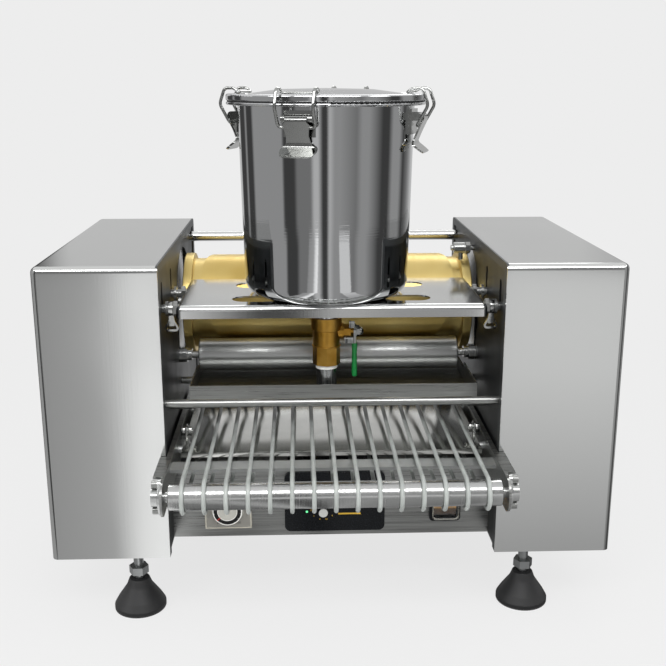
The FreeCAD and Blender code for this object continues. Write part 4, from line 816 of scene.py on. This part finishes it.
# speed controller: lamp, printed bar, numbers round the knob and a pale cap on it
controller = {"lamp": (-16.5, -3.5), "lampRadius": 1.2, "lampGlow": 0.8, "bar": (23.0, 0.1, 1.7),
              "barPlace": (27.0, -6.2), "numberRadius": 12.5, "numberHeight": 2.6, "numberTurn": 165,
              "highest": 10, "capRadius": 4.6, "capThick": 0.8, "capSoft": 0.25}


def lampLens(glow):
    made = mouldedPlastic("greenLampLens", "#59D98A", 0.2)
    shader = made.node_tree.nodes["Principled BSDF"]
    shader.inputs["Emission Color"].default_value = linear("#7BFFB0")
    shader.inputs["Emission Strength"].default_value = glow
    return made


def dressController(c):
    knob = middleOf("speed_knob")
    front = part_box("speed_controller")[0][1]
    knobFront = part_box("speed_knob")[0][1]
    lampPlace = (knob.x + c["lamp"][0] * mm, front, knob.z + c["lamp"][1] * mm)
    bpy.ops.object.select_all(action="DESELECT")
    bpy.ops.mesh.primitive_uv_sphere_add(segments=20, ring_count=12, radius=c["lampRadius"] * mm,
                                         location=lampPlace)
    finishPiece(bpy.context.object, "controllerLamp", lampLens(c["lampGlow"]), "housing")
    bar = addBar(Vector((knob.x + c["barPlace"][0] * mm, front, knob.z + c["barPlace"][1] * mm)),
                 Vector(c["bar"]) * mm)
    finishPiece(bar, "controllerBar", yellowPrint, "housing")
    count = c["highest"] + 1
    step = 2 * c["numberTurn"] / c["highest"]
    places = [around(knob, front - ink["lift"] * mm, c["numberRadius"] * mm, step * n - c["numberTurn"])
              for n in range(count)]
    numbers = addNumbers([str(n) for n in range(count)], places, c["numberHeight"] * mm)
    finishPiece(numbers, "controllerNumbers", yellowPrint, "housing")
    cap = addRound((knob.x, knobFront, knob.z), c["capRadius"], c["capThick"], turn=(math.pi / 2, 0, 0))
    soften(cap, c["capSoft"])
    finishPiece(cap, "knobCap", mouldedPlastic("silverCapPlastic", "#BFC0BC", 0.3), "knob")


dressController(controller)
print("controller dressed")

# rocker switch: a clear rounded splash cover, open at the back, with a pale rim at its back edge, a painted
# highlight round the cover's outline.
# Its edges are rounded by no more than a share of its depth
splash = {"wide": 27.2, "tall": 25.0, "aside": 1.0, "clear": 3.0, "round": 3.4, "roundShare": 0.8, "wall": 0.7,
          "rim": 0.9, "rimThick": 0.6, "corner": 4.5}


def dressRocker(s):
    middle = middleOf("rocker_frame") + Vector((s["aside"] * mm, 0, 0))
    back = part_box("rocker_frame")[0][1]
    front = min(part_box("rocker_switch")[0][1], back) - s["clear"] * mm
    depth = back - front
    size = Vector((s["wide"] * mm, depth, s["tall"] * mm))
    cover = addBar(Vector((middle.x, (front + back) / 2, middle.z)), size)
    applyPlace()
    bpy.ops.object.mode_set(mode="EDIT")
    bpy.ops.mesh.select_all(action="DESELECT")
    bpy.ops.object.mode_set(mode="OBJECT")
    for face in cover.data.polygons:
        face.select = face.normal.y > facing
    bpy.ops.object.mode_set(mode="EDIT")
    bpy.ops.mesh.delete(type="FACE")
    bpy.ops.object.mode_set(mode="OBJECT")
    soften(cover, min(s["round"], depth / mm * s["roundShare"]), 5)
    thicken(cover, s["wall"])
    finishPiece(cover, "switchCover", clearAcrylic(), "housing")
    rim = flatFrame((middle.x, back, middle.z), s["wide"], s["tall"], s["rim"], s["rimThick"], s["corner"])
    # the rim's pale colour is a painted highlight
    paleRimHighlight = mouldedPlastic("paintedRimHighlight", "#DDD8CC", 0.2)
    finishPiece(rim, "switchCoverRim", paleRimHighlight, "housing")


dressRocker(splash)
print("switch dressed")

# thread tape: a wrinkled white wrap where the nozzle screws in
tape = {"radius": 10.85, "height": 4.0, "wall": 0.25, "corners": 72, "cuts": 3, "crease": 2.5, "depth": 0.8,
        "level": 0.2}


def wrapTape(t):
    nozzle = middleOf("valve_nozzle")
    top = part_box("valve_nozzle")[1][2]
    white = mouldedPlastic("threadTape", "#E9E9E4", 0.5)
    wrap = addRound((nozzle.x, nozzle.y, top - t["height"] * mm / 2), t["radius"], t["height"], t["corners"],
                    ends="NOTHING")
    bpy.ops.object.mode_set(mode="EDIT")
    bpy.ops.mesh.select_all(action="SELECT")
    bpy.ops.mesh.subdivide(number_cuts=t["cuts"])
    bpy.ops.object.mode_set(mode="OBJECT")
    creases = bpy.data.textures.new("tapeCreases", "CLOUDS")
    creases.noise_scale = t["crease"] * mm
    crumple = wrap.modifiers.new("crumple", "DISPLACE")
    crumple.texture = creases
    crumple.strength = t["depth"] * mm
    crumple.mid_level = t["level"]
    thicken(wrap, t["wall"])
    finishPiece(wrap, "threadTape", white, "shelf")


wrapTape(tape)
print("tape wrapped")

# valve: two beads round the forged body
valveBeads = {"radius": 14.0, "bead": 0.8, "heights": (19.2, 36.4)}  # heights over the nozzle's top


def addValveBeads(v):
    middle = middleOf("valve_nozzle")
    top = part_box("valve_nozzle")[1][2]
    rings = []
    for height in v["heights"]:
        bpy.ops.object.select_all(action="DESELECT")
        bpy.ops.mesh.primitive_torus_add(major_segments=64, minor_segments=12, major_radius=v["radius"] * mm,
                                         minor_radius=v["bead"] * mm,
                                         location=(middle.x, middle.y, top + height * mm))
        rings.append(bpy.context.object)
    finishPiece(joinAll(rings), "valveBeads", slotMaterials["valve_brass"], "shelf")


addValveBeads(valveBeads)
print("valve beads added")

# valve lever: stop tabs bent from the strap, a washer and dome on the nut, and the dipped grip.
# Places are from the stem's axis at the strap: across, towards the back and up
valveLever = {"tabs": [((-6.2, -7.9, -8.0), (9.6, 1.6, 7.0)), ((-3.0, -6.6, 8.2), (6.0, 1.6, 7.6))],
              "tabRound": 0.7, "washerRadius": 6.8, "washerThick": 1.0, "washerPlace": 1.75, "washerSoft": 0.25,
              "domeRadius": 4.6, "domePlace": 5.0, "gripRound": 2.6, "gripWaist": 0.82, "waistUp": 6.0,
              "roundFrom": 40}


def dressValveLever(v):
    strapLow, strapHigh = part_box("valve_lever")
    gripLow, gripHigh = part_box("lever_grip")
    across = (gripLow[0] + gripHigh[0]) / 2
    halfWidth = (strapHigh[1] - strapLow[1]) / 2
    stem = Vector((across, strapLow[1] + halfWidth, strapHigh[2] - halfWidth))
    tabs = []
    for place, size in v["tabs"]:
        tab = addBar(stem + Vector(place) * mm, Vector(size) * mm)
        applyPlace()
        soften(tab, v["tabRound"], 3)
        tabs.append(tab)
    finishPiece(joinAll(tabs), "leverStopTabs", nickel, "valve_handle")
    washer = addRound(stem + Vector((v["washerPlace"] * mm, 0, 0)), v["washerRadius"], v["washerThick"],
                      turn=(0, math.pi / 2, 0))
    soften(washer, v["washerSoft"])
    finishPiece(washer, "leverWasher", nickel, "valve_handle")
    domeFoot = stem + Vector((v["domePlace"] * mm, 0, 0))
    bpy.ops.object.select_all(action="DESELECT")
    bpy.ops.mesh.primitive_uv_sphere_add(segments=32, ring_count=16, radius=v["domeRadius"] * mm,
                                         location=domeFoot)
    dome = bpy.context.object
    bpy.ops.object.mode_set(mode="EDIT")
    bpy.ops.mesh.select_all(action="SELECT")
    bpy.ops.mesh.bisect(plane_co=domeFoot, plane_no=(1, 0, 0), use_fill=True, clear_inner=True)
    bpy.ops.object.mode_set(mode="OBJECT")
    finishPiece(dome, "leverDome", nickel, "valve_handle")
    dipGrip(v, gripLow, gripHigh)


# the grip is a dipped skin: fully rounded edges and a slight waist under its thicker top
def dipGrip(v, low, high):
    middle = (Vector(low) + Vector(high)) / 2
    waist = middle + Vector((0, 0, v["waistUp"] * mm))
    grip = addBar(middle, Vector(high) - Vector(low))
    applyPlace()
    bpy.ops.object.mode_set(mode="EDIT")
    bpy.ops.mesh.select_all(action="SELECT")
    bpy.ops.mesh.bisect(plane_co=waist, plane_no=(0, 0, 1))
    bpy.ops.transform.resize(value=(v["gripWaist"], v["gripWaist"], 1), center_override=waist)
    bpy.ops.object.mode_set(mode="OBJECT")
    soft = grip.modifiers.new("soft", "BEVEL")
    soft.width = v["gripRound"] * mm
    soft.segments = 6
    soft.limit_method = "ANGLE"
    soft.angle_limit = math.radians(v["roundFrom"])
    applyModifiers(grip)
    finishPiece(grip, "dippedGrip", slotMaterials["grip_plastic"], "valve_handle")
    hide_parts("lever_grip")


dressValveLever(valveLever)
print("valve lever dressed")
